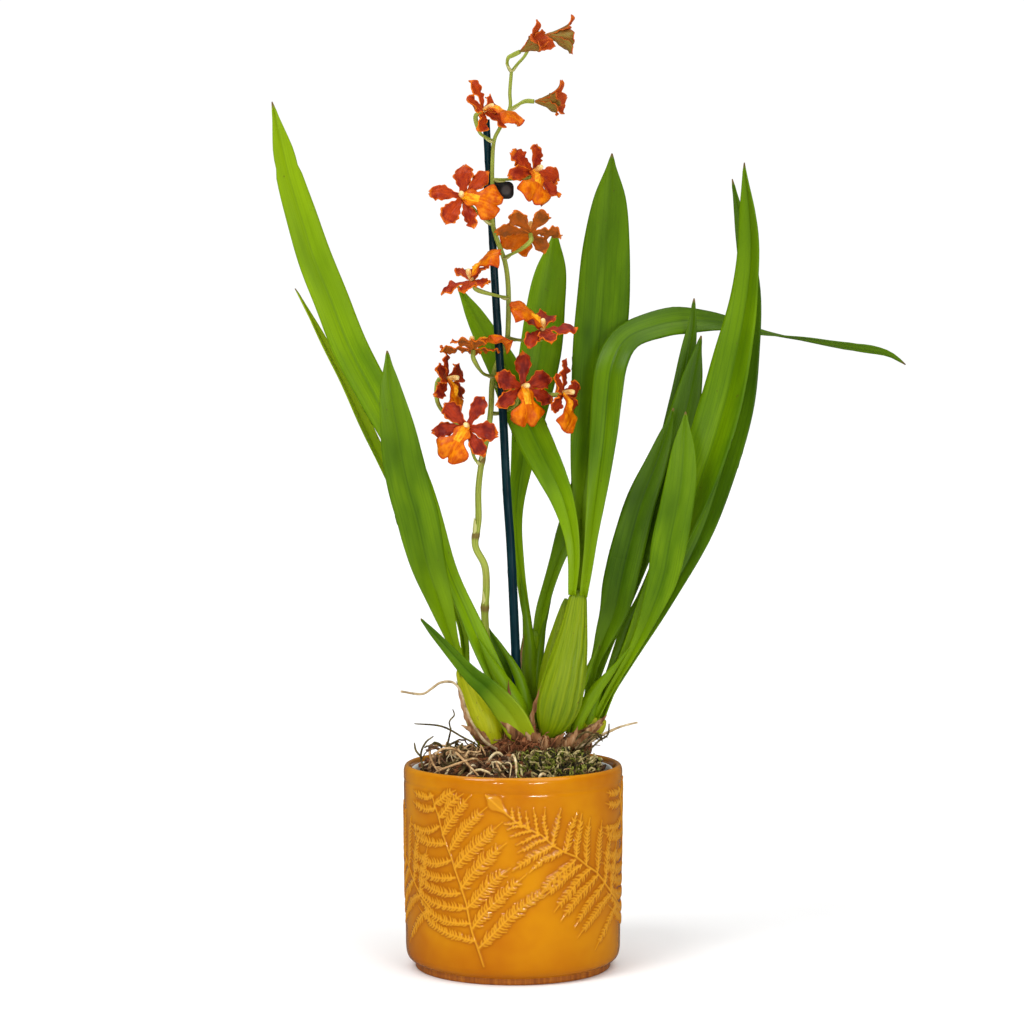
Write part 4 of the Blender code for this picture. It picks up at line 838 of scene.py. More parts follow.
bm = bmesh.new()
tube(bm, RHIZOME, RHIZOME_RADII, 28, 90, swell=rings)
tube(bm, RHIZOME_BRANCH, (5.4, 5.2, 4.8), 24, 50, swell=rings)
for points in BRACTS:
    scale_leaf(bm, points, 11, (0, 1, -0.1), 60, PAPERY, 18, 8, 0.16)
for points, width in DRY_SHEATHS:
    scale_leaf(bm, points, width, (0, 1, 0), 60, PAPERY, 18, 8, 0.22)
chance = random.Random(71)
creeping = Path(RHIZOME)
branch = Path(RHIZOME_BRANCH)
for number in range(SCALES):
    line = creeping if number % 3 else branch
    share = chance.uniform(0.03, 0.97)
    middle = line.at(share)
    turn = chance.uniform(-0.3, math.pi + 0.3)
    heading = line.heading(share)
    aside = heading.cross(Vector((0, 0, 1))).normalized()
    out = (aside * math.cos(turn) + Vector((0, 0, 1)) * math.sin(turn)).normalized()
    foot = middle + out * 5.0
    tip = foot + out * chance.uniform(1.5, 4.0) + Vector((0, 0, chance.uniform(0, 4.5)))
    tip += heading * chance.uniform(-3, 3)
    scale_leaf(bm, (foot, foot.lerp(tip, 0.5) + out * 1.2, tip), chance.uniform(4, 8), -out, 60,
               chance.choice((WOODY, PAPERY)), 6, 4, 0.3)
for number in range(FRONT_SCALES):
    foot = Vector((chance.gauss(14, 7), chance.uniform(-24, -20), chance.uniform(139, 150)))
    tip = foot + Vector((chance.gauss(0, 3.5), chance.uniform(-2.5, 0), chance.gauss(2, 3.5)))
    middle = foot.lerp(tip, 0.5) + Vector((0, -1, 0.6))
    scale_leaf(bm, (foot, middle, tip), chance.uniform(3, 6.5), (0.1, 1, 0.2), 60, WOODY, 6, 4, 0.35)
creeper = finished("rhizome_stem", bm, (woody, papery), 50)
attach(creeper, "root")
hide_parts("rhizome")



def drooping(start, way, stride, droop):
    """A fibre's path: straight out by so much a step, and ever lower."""
    return [start + way * stride * k + Vector((0, 0, -droop * k * k)) for k in range(5)]


runs = []
for number in range(FIBRES):
    middle = creeping.at(chance.uniform(0.05, 0.98))
    turn = chance.uniform(0, math.pi)
    out = Vector((math.cos(turn) * 0.5, -abs(math.cos(turn)), math.sin(turn))).normalized()
    start = middle + out * 5.2
    way = out + Vector([chance.uniform(-0.8, 0.8) for _ in range(3)])
    runs.append((drooping(start, way, 1.6, 0.22), chance.uniform(0.6, 1.2), chance.choice((0, 1))))
for number in range(FRONT_FIBRES):
    start = Vector((chance.gauss(15, 6), chance.uniform(-25, -21), chance.uniform(139, 152)))
    way = Vector((chance.gauss(0, 0.5), chance.uniform(-0.35, 0.1), chance.gauss(-0.1, 0.6)))
    runs.append((drooping(start, way, 2.0, 0.25), chance.uniform(0.9, 2.6), chance.choice((0, 1, 1, 1))))
fibres = strands("rhizome_fibres", runs, 0.28, (papery, woody))
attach(fibres, "root")


# The pseudobulbs are the plant's water stores: flattened, ribbed and taut, yellow-green when
# young and darker with age, each wrapped at its foot in dry papery sheaths.
BULBS = (
    ("bulb_left", ((-13.5, -6, 143.5), (-18, -4.5, 158), (-25, -3, 175), (-33, -2, 193)),
     (8.0, 10.8, 11.4, 10.6, 8.8, 6.8, 4.5), 0.78, 13, "young"),
    ("bulb_front", ((21.5, -14.8, 148.6), (26.5, -19, 163), (33, -20, 190), (38, -18, 216), (41.8, -14, 243)),
     (5.0, 11.0, 14.0, 13.7, 12.4, 10.6, 8.6, 6.8, 5.4), 0.66, 13, "old"),
    ("bulb_middle", ((18.9, 3, 147.5), (23, 3.5, 165), (28, 4, 198), (34, 4, 236)),
     (3.5, 8.0, 9.4, 9.0, 7.4, 4.8, 2.0), 0.62, 11, "old"),
    ("bulb_new", ((14, 21, 147.2), (13, 21, 165), (12, 20, 190), (13, 20, 214)),
     (4.0, 7.5, 8.4, 8.4, 8.0, 7.4, 6.0), 0.75, 8, "shoot"),
    ("bulb_right", ((46, 3.5, 147.5), (47.5, 5, 152), (50, 6.5, 156), (51, 7, 160)),
     (6.0, 8.6, 9.6, 10.0, 9.8, 9.0), 0.95, 11, "young"),
)
DRY_EDGES = {
    "bulb_left": (((-24, -11.5, 150), (-29, -11.2, 160), (-33, -9.5, 172), (-36, -8, 184)),),
    "bulb_front": (((14, -20, 148), (12, -21.5, 160), (15, -22.5, 174), (21, -22.5, 190)),),
    "bulb_new": (((6, 15, 147), (4, 14.5, 165), (4.5, 14, 190), (7, 13.5, 212)),),
}


def bulb_skin(name, dark, mid, light, flecks):
    """Taut waxy skin: painted highlight on the ribs, painted shade in the furrows, with rust flecks on old
    bulbs.
    """
    finish = Finish(name, 0.38, Specular_IOR_Level=0.16)
    full = finish.attribute("full")
    place = finish.place()
    streaks = finish.noise(finish.attribute("blade", "Vector"), 1.0, 4.0, (0.7, 0.03, 0))
    base = finish.ramp(streaks, (0.3, dark), (0.5, mid), (0.72, light))
    # Lighter on the swollen ribs and darker in the furrows: painted highlight and painted shade.
    painted_rib_shading = finish.mixed(base, light, full, 0.985, 1.03, 0.45)
    painted_furrow_shade = finish.mixed(painted_rib_shading, dark, full, 0.985, 0.945, 0.6)
    tinted = finish.mixed(painted_furrow_shade, mid, finish.noise(place, 38, 3.0), 0.42, 0.75, 0.55)
    flecked = finish.mixed(tinted, (0.10, 0.05, 0.012), finish.noise(place, 380, 2.0), 0.68, 0.73, flecks)
    return finish.done(flecked, streaks, 0.4, 0.5)


bulb_skins = {
    "young": bulb_skin("bulb_young", (0.22, 0.26, 0.0), (0.33, 0.36, 0.001), (0.44, 0.43, 0.006), 0.4),
    "old": bulb_skin("bulb_old", (0.075, 0.135, 0.0), (0.145, 0.215, 0.001), (0.215, 0.275, 0.003), 0.7),
    "shoot": bulb_skin("bulb_shoot", (0.09, 0.17, 0.0), (0.13, 0.23, 0.0), (0.20, 0.30, 0.002), 0.2),
}
for name, axis, radii, depth, ribs, age in BULBS:
    def furrowed(turn, t):
        """The bulb's ribs and furrows, deeper on an old one, and its rounded end."""
        sway = 1.1 * math.sin(4.5 * t + ribs) + 0.5 * math.sin(3 * turn + 9 * t)
        sway += 0.25 * math.sin(31 * t + 2 * turn)
        deep = 0.75 + 0.3 * math.cos(2 * turn + 1.3) if age == "old" else 0.35
        rib = math.cos(ribs * turn + sway) * deep
        strength = math.sin(math.pi * min(1, 0.06 + t * 0.97)) ** 0.5
        dome = math.sqrt(1 - 0.8 * (max(0.0, t - 0.93) / 0.07) ** 2)
        return (1 + (0.044 * rib - 0.014 * rib * rib + 0.006 * math.cos(3 * ribs * turn)) * strength) * dome

    bm = bmesh.new()
    tube(bm, axis, radii, 128, 56, depth, swell=furrowed)
    for points in DRY_EDGES.get(name, ()):
        scale_leaf(bm, points, 3.4, (0.05, 1, 0.1), 50, PAPERY, 26, 4, 0.3)
    bulb = finished(name + "_skin", bm, (bulb_skins[age], papery), 60)
    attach(bulb, "root")
    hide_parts(name)


# The leaves are long straps, folded along the midrib at their foot and opening towards the tip,
# with fine parallel veins under a satin skin. Each grows from the top or the side of its bulb.
LEAF_ROWS = 72
LEAF_COLS = 14
LEAF_THICKNESS = 0.75
LEAVES = (
    ("leaf_left_tall",
     ((4, -9.5, 149.4), (1, -7, 160), (-4, -6, 172), (-12, -6, 189), (-20, -5, 206), (-30, -4, 229),
      (-41, 0, 254), (-51, 6, 285), (-61, 12, 310), (-74, 20, 336), (-91, 30, 368), (-107, 38, 398),
      (-119, 46, 428), (-130, 52, 455), (-139, 57, 483), (-147, 60, 509), (-153, 62, 535), (-158, 62, 558)),
     (11, 13, 14, 11, 12, 16, 20, 24, 25, 25, 24, 21, 15, 1.5),
     ((0.3, -1, 0.2), (0.3, -1, 0.3), (0.35, -1, 0.2), (0.3, -1, 0.15)), (22, 14), "bright"),
    ("leaf_left_front",
     ((-33.4, -5.8, 192.3), (-39, -10, 210), (-47, -15, 236), (-54, -20, 259), (-60, -28, 288),
      (-65, -33, 307), (-69, -38, 326), (-72, -42, 345), (-76, -46, 370), (-78, -48, 394)),
     (5.5, 8, 16, 22, 26, 28, 28, 26, 21, 13, 1.5),
     ((0.4, -1, 0.3), (0.2, -1, 0.1), (0.1, -1, 0)), (40, 16), "green"),
    # This blade takes the pale tone, a lit copy of the bright leaf colour: painted light.
    ("leaf_left_narrow",
     ((-30.9, 1.7, 192.6), (-33, 9, 214), (-42, 20, 239), (-56, 30, 269), (-73, 38, 298), (-88, 45, 326),
      (-106, 52, 363), (-118, 56, 387), (-132, 60, 414), (-143, 62, 436)),
     (5, 7, 10, 12, 13, 14, 14, 13, 11, 7, 1.5),
     ((0.5, -1, 0.3), (0.7, -0.6, 0.5), (0.75, -0.4, 0.5)), (45, 24), "pale"),
    ("leaf_centre_folded",
     ((38, -17.3, 244.4), (39, -18.5, 262), (37, -17.5, 281), (32, -12, 300), (26, -6, 314), (18, 0, 330),
      (10, 5, 347), (3, 9, 363), (-5, 15, 382), (-15, 20, 400), (-25, 24, 418), (-36, 28, 437)),
     (4.6, 8, 13, 18, 22, 24, 24, 22, 18, 12, 1.5),
     ((-0.3, -1, 0), (-0.3, -1, 0.2), (-0.2, -1, 0.3)), (40, 20), "fresh"),
    ("leaf_centre_tall",
     ((41.3, -11.2, 243.4), (42, -10.5, 265), (43, -8, 287), (46, -3, 312), (49, 3, 337), (52, 9, 363),
      (55, 16, 395), (58, 22, 427), (60, 27, 459), (62.5, 31, 492), (64, 33, 522)),
     (6, 11, 16, 24, 29, 33, 35, 34, 30, 21, 1.5),
     ((0.1, -1, 0), (0.1, -1, 0.1), (0, -1, 0.15)), (38, 10), "calm"),
    ("leaf_arching",
     ((45, -17, 243.1), (48, -20, 265), (51, -18, 290), (55, -14, 319), (58, -10, 344), (60, -7, 366),
      (63, -4, 386), (72, 3, 402), (90, 13, 410), (110, 25, 414), (135, 37, 413), (160, 45, 407),
      (202, 52, 400), (242, 56, 394), (258, 57, 386)),
     (4.6, 8, 13, 17, 20, 22, 22, 22, 22, 21, 19, 15, 10, 1.5),
     ((0, -1, 0), (0, -1, 0), (-0.2, -1, 0.2), (-0.3, -0.8, 0.5), (0, -0.8, 0.5), (0, -0.3, 1),
      (0, 0.25, 1), (0, 0.7, 0.8)), (40, 10), "calm"),
    ("leaf_back_centre",
     ((10.2, 20.2, 214.8), (7, 22, 234), (4, 24, 257), (2, 27, 279), (3, 31, 301), (7, 37, 330),
      (12, 44, 363), (18, 49, 395), (22, 54, 428), (26, 57, 454), (28, 59, 475)),
     (4.5, 6, 8, 9, 14, 20, 26, 28, 26, 20, 1.5),
     ((0, -1, 0), (0.1, -1, 0.1), (0, -1, 0.2)), (40, 12), "fresh"),
    ("leaf_back_low",
     ((16.2, 19.8, 214.3), (21, 24, 234), (27, 30, 253), (34, 37, 272), (44, 44, 297), (52, 51, 323),
      (59, 56, 349), (65, 60, 372)),
     (4.5, 8, 9, 11, 15, 18, 19, 18, 14, 9, 1.5),
     ((-0.3, -1, 0.1), (-0.2, -1, 0.3)), (40, 16), "deep"),
    ("leaf_right_tall",
     ((57.2, 4.8, 159.8), (61, 3.5, 171), (66, 1, 184), (74, -2, 202), (82, -5, 223), (92, -8, 247),
      (103, -11, 273), (115, -13, 302), (126, -14, 334), (135, -13, 365), (142, -10, 395),
      (148, -6, 426), (151, -2, 456), (150, 2, 484), (147, 6, 514)),
     (5, 9, 12, 17, 24, 31, 34, 32, 26, 20, 15, 1.5),
     ((-0.5, -1, 0.3), (-0.5, -1, 0.3), (-0.6, -0.9, 0.2), (-0.8, -0.7, 0.2)), (34, 26), "green"),
    ("leaf_right_back_tall",
     ((56.5, 10.3, 158.9), (64, 13, 175), (77, 15, 196), (98, 17, 231), (120, 19, 273),
      (134, 21, 312), (146, 23, 356), (151, 24, 395), (153, 25, 427), (151, 25, 452), (147, 25, 475),
      (141, 25, 505)),
     (4.5, 6, 9, 13, 17, 19, 20, 18, 15, 10, 1.5),
     ((-0.4, -1, 0.3), (-0.3, -1, 0.2), (-0.3, -1, 0)), (40, 16), "deep"),
    ("leaf_right_narrow",
     ((48.5, 13.2, 160.3), (54, 16, 182), (63, 17.5, 208), (74, 18, 240), (85, 18, 273), (95, 17.5, 305),
      (102, 17, 337), (108, 16, 366), (112, 15, 391), (115, 14, 411), (116, 13, 428)),
     (4, 5, 7, 9, 12, 14, 15, 15, 13, 9, 1.5),
     ((-0.2, -1, 0.1), (-0.2, -1, 0.1)), (40, 14), "deep"),
    ("leaf_right_dark",
     ((45.4, 9, 161.6), (51, 11, 179), (60, 11.5, 202), (70, 11, 228), (80, 10, 257), (89, 9, 286),
      (99, 8, 318), (107, 7, 344), (113, 6, 369), (117, 5, 389), (120, 4, 404)),
     (4, 5, 7, 10, 13, 17, 20, 22, 20, 13, 1.5),
     ((-0.2, -1, 0.1), (-0.2, -1, 0.1)), (40, 12), "deep"),
    ("leaf_right_broad",
     ((46.5, 3.5, 162), (51, 6, 188), (58, 5, 209), (65, 4, 228), (69, 2, 248), (75, 0, 274),
      (82, -1, 299), (91, -2, 322), (98, -3, 343), (102, -3, 358)),
     (4, 5, 8, 16, 22, 23, 22, 20, 16, 10, 1.5),
     ((-0.3, -1, 0.1), (-0.2, -1, 0.1)), (40, 12), "deep"),
    ("leaf_right_front",
     ((53.9, 0.2, 160.9), (63, -4, 179), (72, -8, 195), (81, -12, 213), (89, -17, 233),
      (95, -21, 252), (99, -25, 275), (103, -28, 297), (106, -30, 319), (108, -32, 356)),
     (4, 4.6, 6, 9, 14, 20, 23, 22, 20, 14, 1.5),
     ((-0.3, -1, 0.2), (-0.2, -1, 0.1), (0, -1, 0)), (40, 14), "green"),
    ("leaf_right_small",
     ((52.7, 14.3, 159.2), (58, 19, 174), (64, 21.5, 188), (70, 23, 203), (76, 24, 219),
      (84, 25, 234), (91, 26, 254), (97, 26, 273)),
     (3.6, 4, 5, 7, 9, 10, 9, 8, 6, 4, 1.5),
     ((-0.3, -1, 0.1), (-0.2, -1, 0.1)), (36, 14), "deep"),
    ("sheath_front",
     ((8.1, -18.8, 148.2), (4, -21, 155), (-1, -22.5, 164), (-9, -24, 174), (-18, -25, 183),
      (-27, -26, 191), (-43, -29, 209), (-58, -33, 226)),
     (9, 14, 16.5, 16.5, 14.5, 12.5, 10.5, 8.5, 6.5, 4.5, 1.5),
     ((-0.25, -1, -0.3), (-0.25, -1, -0.2)), (14, 10), "sheath"),
    ("sheath_back",
     ((11.8, 9.1, 146.8), (9, 9, 160), (4, 8, 174), (-2, 8, 189), (-10, 8, 204), (-19, 8, 221)),
     (7, 10, 12, 12, 11, 10, 9, 7, 5, 3, 1.5),
     ((0.2, -1, 0.2), (0.2, -1, 0.2)), (14, 12), "sheath"),
)


def leaf_skin(name, body, shade, light, foot, tip, reach=95):
    """Satin leaf skin: fine parallel veins, slow drifts of tone, a painted shade line along the midrib
    groove, and its foot and tip.
    """
    finish = Finish(name, 0.36, Specular_IOR_Level=0.13)
    blade = finish.attribute("blade", "Vector")
    across, along, share = finish.axes(blade)
    place = finish.place()
    veins = finish.noise(blade, 1.0, 2.0, (1.1, 0.006, 0))
    drifts = finish.noise(blade, 1.0, 2.0, (0.09, 0.011, 3))
    drifted = finish.ramp(drifts, (0.30, shade), (0.5, body), (0.70, light))
    washed = finish.mixed(drifted, light, finish.noise(place, 16, 2.0), 0.45, 0.75, 0.5)
    lined = finish.mixed(washed, shade, veins, 0.52, 0.36, 0.38)
    # A thin darker line along the midrib: painted shade in its groove.
    from_midrib = finish.nodes.new("ShaderNodeMath")
    from_midrib.operation = 'ABSOLUTE'
    finish.link(across, from_midrib.inputs[0])
    painted_rib_shading = finish.mixed(lined, shade, from_midrib.outputs[0], 0.8, 0.2, 0.6)
    pale = finish.mixed(painted_rib_shading, foot, along, reach, 8, 0.85)
    ended = finish.mixed(pale, tip, share, 0.6, 1.0, 0.6)
    dry = finish.mixed(ended, (0.16, 0.09, 0.03), share, 0.988, 0.997)
    specked = finish.mixed(dry, (0.07, 0.05, 0.008), finish.noise(place, 300, 1.0), 0.76, 0.80, 0.5)
    return finish.done(specked, veins, 0.30, 0.5)


leaf_skins = {
    "bright": leaf_skin("leaf_bright", (0.115, 0.225, 0.0), (0.065, 0.150, 0.0), (0.175, 0.305, 0.0),
                        (0.11, 0.21, 0.0), (0.25, 0.37, 0.002)),
    "fresh": leaf_skin("leaf_fresh", (0.105, 0.210, 0.0), (0.055, 0.130, 0.0), (0.150, 0.270, 0.0),
                       (0.19, 0.31, 0.001), (0.120, 0.225, 0.0)),
    "green": leaf_skin("leaf_green", (0.078, 0.162, 0.0), (0.040, 0.100, 0.0), (0.125, 0.230, 0.0),
                       (0.19, 0.31, 0.001), (0.100, 0.190, 0.0)),
    "calm": leaf_skin("leaf_calm", (0.056, 0.125, 0.0), (0.030, 0.078, 0.0), (0.090, 0.180, 0.0),
                      (0.17, 0.28, 0.001), (0.082, 0.160, 0.0)),
    "deep": leaf_skin("leaf_deep", (0.044, 0.105, 0.0), (0.022, 0.062, 0.0), (0.078, 0.165, 0.0),
                      (0.14, 0.25, 0.001), (0.055, 0.115, 0.0)),
    "sheath": leaf_skin("leaf_sheath", (0.075, 0.165, 0.0), (0.040, 0.105, 0.0), (0.12, 0.225, 0.001),
                        (0.34, 0.42, 0.010), (0.025, 0.075, 0.0), 48),
    # The pale tone is a lit copy of the bright leaf colour: painted light for a blade that faces away from
    # the lamps.
    "pale": leaf_skin("leaf_lit_bright", (0.22, 0.34, 0.001), (0.15, 0.26, 0.0), (0.30, 0.42, 0.004),
                      (0.17, 0.29, 0.0), (0.34, 0.45, 0.006)),
}


def solid_blade(item, thickness, back=0):
    """Gives the sheet its thickness, evenly on both sides; back=1 gives its back the next material."""
    wall = item.modifiers.new("thickness", 'SOLIDIFY')
    wall.thickness = thickness * MM
    wall.offset = 0
    wall.material_offset = back


chance = random.Random(91)
for name, points, widths, faces, folds, tone in LEAVES:
    rooted = Vector(points[0]) + (Vector(points[0]) - Vector(points[1])).normalized() * 4.5
    path = Path((rooted, *points))
    looks = [Vector(face).normalized() for face in faces]
    lean = chance.uniform(0, math.tau)
    bm = bmesh.new()
    layer = blade_layer(bm)
    bmesh.ops.create_grid(bm, x_segments=LEAF_COLS, y_segments=LEAF_ROWS, size=1)
    rows = []
    for i in range(LEAF_ROWS + 1):
        t = i / LEAF_ROWS
        t = t + 0.35 * t * (1 - t) ** 2 if t < 0.5 else t
        heading = path.heading(t)
        place = t * (len(looks) - 1)
        k = min(int(place), len(looks) - 2)
        look = looks[k].lerp(looks[k + 1], place - k)
        look = (look - heading * look.dot(heading)).normalized()
        half = max(smooth_along(widths, t), 1.0) / 2 * (1 + 0.4 * math.exp(-(t * path.length / 24) ** 2))
        if t > 0.9:
            half = min(half, widths[-2] / 2 * math.sqrt(max(0.0, 1 - ((t - 0.9) / 0.1) ** 2)) + 0.2)
        fold = math.radians(folds[0] + (folds[1] - folds[0]) * min(1.0, t * 2.2))
        rows.append((t, path.at(t), look, heading.cross(look), half, fold))
    for vert in bm.verts:
        u = vert.co.x
        t, middle, look, side, half, fold = rows[round((vert.co.y + 1) / 2 * LEAF_ROWS)]
        away = abs(u)
        ride_up = (math.sqrt(away * away + 0.006) - 0.06) * math.sin(fold) - 0.10 * away ** 3
        wave = 0.30 * away ** 3 * math.sin(t * path.length / 9 + lean + u)
        groove = -0.45 * math.exp(-(u * half / 0.9) ** 2) * min(1, t * 6)
        spread = u * half * math.cos(fold)
        vert[layer] = (u * half, t * path.length, t)
        vert.co = (middle + side * spread + look * (ride_up * half + wave + groove)) * MM
    blade = finished(name + "_blade", bm, (leaf_skins[tone],), 60)
    solid_blade(blade, LEAF_THICKNESS)
    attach(blade, "root")
    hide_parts(name)


# Green sheaths wrap the foot of each growth where its leaves come off. They are the bases of older
# leaves, thin, pointed and folded round one another.
LEAF_SHEATHS = (
    (((9, -13, 150), (4, -13.5, 164), (-5, -13, 180), (-14, -12, 196), (-23, -9, 213)), 18, "green"),
    (((13, -8, 152), (9, -9, 168), (3, -8, 188), (-6, -7, 204), (-14, -6, 216)), 11, "deep"),
    (((40, -10, 150), (44, -11, 163), (52, -12, 177), (63, -12, 191), (74, -13, 206)), 12, "green"),
    (((36, -6, 150), (38, -8, 166), (44, -7, 181), (50, -4, 196), (56, -1, 210)), 9, "green"),
    (((47, -3, 150), (50, -4, 164), (57, -3, 182), (66, -3, 199)), 9, "deep"),
    (((12.5, 11, 150), (12, 11, 172), (11, 12, 200), (8, 15, 226), (5, 20, 250)), 15, "green"),
    (((15, 12, 160), (16, 12.5, 188), (19, 16, 212), (25, 22, 236)), 10, "deep"),
)
bm = bmesh.new()
sheath_tones = ("green", "deep")
for points, width, tone in LEAF_SHEATHS:
    scale_leaf(bm, points, width, (0, 1, 0.1), 75, sheath_tones.index(tone), 36, 12, 0.03)
sheaths = finished("leaf_sheaths", bm, [leaf_skins[tone] for tone in sheath_tones], 60)
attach(sheaths, "root")


# The loose aerial roots are dry and corky, with a papery grey-tan coat over a wiry core. They grow
# out of the rhizome's side and arch over the bark.
ROOTS = (
    ("aerial_root_left",
     ((-10.5, -14.7, 141.2), (-18, -18.5, 147), (-25, -19, 157), (-30, -17.5, 168), (-33, -17, 178),
      (-38, -16, 184), (-46, -16, 184), (-52, -17, 180), (-58, -19, 177), (-71, -22, 179)),
     (1.0, 0.8, 0.75, 0.8, 0.7)),
    ("aerial_root_right",
     ((39.5, -16.8, 142.2), (48, -18, 146), (56, -17.5, 150.5), (68, -18, 156), (79, -19, 159)),
     (1.1, 0.9, 0.6)),
)
root_coat = earthy("root_coat", (0.20, 0.13, 0.06), (0.40, 0.29, 0.15), (0.58, 0.46, 0.28), 220, 0.8)
for name, points, radii in ROOTS:
    def corky(turn, t):
        """The root's uneven coat."""
        return 1 + 0.10 * math.sin(t * 37 + len(name)) * math.sin(t * 13) + 0.05 * math.cos(3 * turn + 31 * t)

    bm = bmesh.new()
    tube(bm, points, radii, 10, 90, swell=corky)
    root = finished(name + "_coat", bm, (root_coat,), 60)
    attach(root, "root")
    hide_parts(name)


# The support stick is a nearly straight, round plastic cane, dark teal with a satin skin and faint
# moulding rings, pushed into the bark among the bulbs.
STICK = (
    (6.5, 4, 70), (4.5, 3, 130), (3, 2, 171), (-1, 0, 261), (-4, -1, 306), (-7, -3, 366), (-11, -5, 429),
    (-17, -8, 540),
)
STICK_RADII = (3.0, 3.0, 2.9, 2.7, 2.6, 2.4, 2.3)
finish = Finish("teal_cane", 0.30, Specular_IOR_Level=0.12)
wear_and_glint = finish.noise(finish.attribute("blade", "Vector"), 1.0, 4.0, (0.5, 0.05, 0))
colour = finish.ramp(wear_and_glint, (0.3, (0.001, 0.011, 0.017)), (0.55, (0.002, 0.020, 0.027)),
                     (0.8, (0.010, 0.040, 0.045)))
teal_cane = finish.done(colour, wear_and_glint, 0.15, 0.5)


def cane_rings(turn, t):
    """Nine low rings along the cane."""
    return 1 + 0.05 * math.exp(-(((t * 9) % 1 - 0.5) / 0.03) ** 2)


bm = bmesh.new()
tube(bm, STICK, STICK_RADII, 24, 200, swell=cane_rings)
cane = finished("support_cane", bm, (teal_cane,), 60)
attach(cane, "root")
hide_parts("support_stick")


# The clip is a small moulded claw of black plastic: one ring closes round the cane and one round the
# flower stem. Its square finger tab has two rounded corners and a grey spot of painted highlight.
CLIP_HEIGHT = 495.5
CLIP_RINGS = (((-14.7, -6.75, CLIP_HEIGHT), 3.9, 2.95), ((-12.95, -14.0, CLIP_HEIGHT), 3.2, 2.15))
TAB_MIDDLE = (-6.0, -9.4, CLIP_HEIGHT)
TAB_SIZE = (13.0, 2.2, 11.0)
GLINT_SPOT = (-4.5, -10.5, CLIP_HEIGHT)
finish = Finish("clip_black", 0.38, Specular_IOR_Level=0.4)
place = finish.place()
from_glint = finish.nodes.new("ShaderNodeVectorMath")
from_glint.operation = 'DISTANCE'
finish.link(place, from_glint.inputs[0])
from_glint.inputs[1].default_value = Vector(GLINT_SPOT) * MM
scuffs = finish.noise(place, 700, 3.0)
black = finish.ramp(scuffs, (0.35, (0.006, 0.006, 0.006)), (0.6, (0.014, 0.013, 0.012)),
                    (0.85, (0.03, 0.027, 0.024)))
# The grey spot on the tab's face is a painted highlight.
wear_and_glint = finish.mixed(black, (0.11, 0.095, 0.085), from_glint.outputs["Value"], 0.0036, 0.0022, 0.7)
clip_black = finish.done(wear_and_glint, scuffs, 0.06, 0.6)
bm = bmesh.new()
for middle, outer, inner in CLIP_RINGS:
    ring = bmesh.new()
    profile = ((outer, -2.6), (outer, 2.6), (outer - 0.3, 3.0), (inner + 0.2, 3.0), (inner, 2.7),
               (inner, -2.7), (inner + 0.2, -3.0), (outer - 0.3, -3.0))
    turned(ring, profile, 36, middle)
    joined(bm, ring)
shape = Matrix.Translation(Vector(TAB_MIDDLE) * MM) @ Matrix.Diagonal(Vector(TAB_SIZE) * MM).to_4x4()
tab = bmesh.ops.create_cube(bm, size=1, matrix=shape)["verts"]
corners = [edge for edge in {edge for vert in tab for edge in vert.link_edges}
           if abs(edge.verts[0].co.y - edge.verts[1].co.y) > 1 * MM
           and edge.verts[0].co.x > TAB_MIDDLE[0] * MM]
bmesh.ops.bevel(bm, geom=corners, offset=3.6 * MM, offset_type='OFFSET', segments=6, profile=0.5,
                affect='EDGES', material=-1)


def on_tab_face(vert):
    """Whether the vertex lies on the tab's front or its back."""
    away = abs(vert.co.y - TAB_MIDDLE[1] * MM)
    return abs(away - TAB_SIZE[1] / 2 * MM) < 0.01 * MM


rims = [edge for edge in bm.edges
        if all(on_tab_face(vert) for vert in edge.verts) and edge.calc_face_angle(0) > 1]
bmesh.ops.bevel(bm, geom=rims, offset=0.45 * MM, offset_type='OFFSET', segments=2, profile=0.5,
                affect='EDGES', material=-1)
clip = finished("clip_claw", bm, (clip_black,), 50)
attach(clip, "root")
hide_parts("stem_clip")


# The flower spike is one living stem, pale olive green and slightly zigzag, swollen at each node,
# where a thin pale bract clasps it. A short side stalk leaves it below every bloom.
STEM = ((-3, -4.9, 145.9), (-5, -1, 156), (-7, 1, 166), (-10, 1.5, 180), (-14, 1.5, 196), (-17, 0.5, 212),
        (-18, -3, 228), (-17, -7, 244), (-18, -9, 258), (-24, -9, 271), (-22, -9, 287), (-22, -8, 306),
        (-20, -6, 323), (-16, -3, 342), (-14, 0, 358), (-13, 3, 376), (-8, 4, 392), (-4, 3, 400),
        (-3, 1, 413), (-3, -2, 434), (-5, -7, 450), (-10, -12, 464), (-13, -14, 476), (-13, -14, 492),
        (-13, -13.5, 510), (-12, -12.5, 526), (-8, -11, 535), (-2, -10, 547), (-2, -9, 557), (-1, -8, 570))
STEM_RADII = (2.3, 2.4, 2.4, 2.3, 2.1, 1.9, 1.8, 1.7, 1.6, 1.5, 1.3, 1.2, 1.1)
HALF_OPEN = {
    "bloom_01": ((20, -6, 593), (1, 0.15, -0.05), (0, -0.4, 1), ((-1, -8, 570), (3, -8, 575), (8, -7, 581))),
    "bloom_02": ((5, -16, 582), (0.8, -0.4, 0.35), (-0.35, 0, 0.9),
                 ((-1, -8, 570), (-3.5, -11, 574), (-3, -14, 578))),
    "bloom_03": ((14, -12, 551), (1, -0.25, -0.05), (0, -0.2, 1), ((-2, -10, 546), (3, -11, 549))),
}
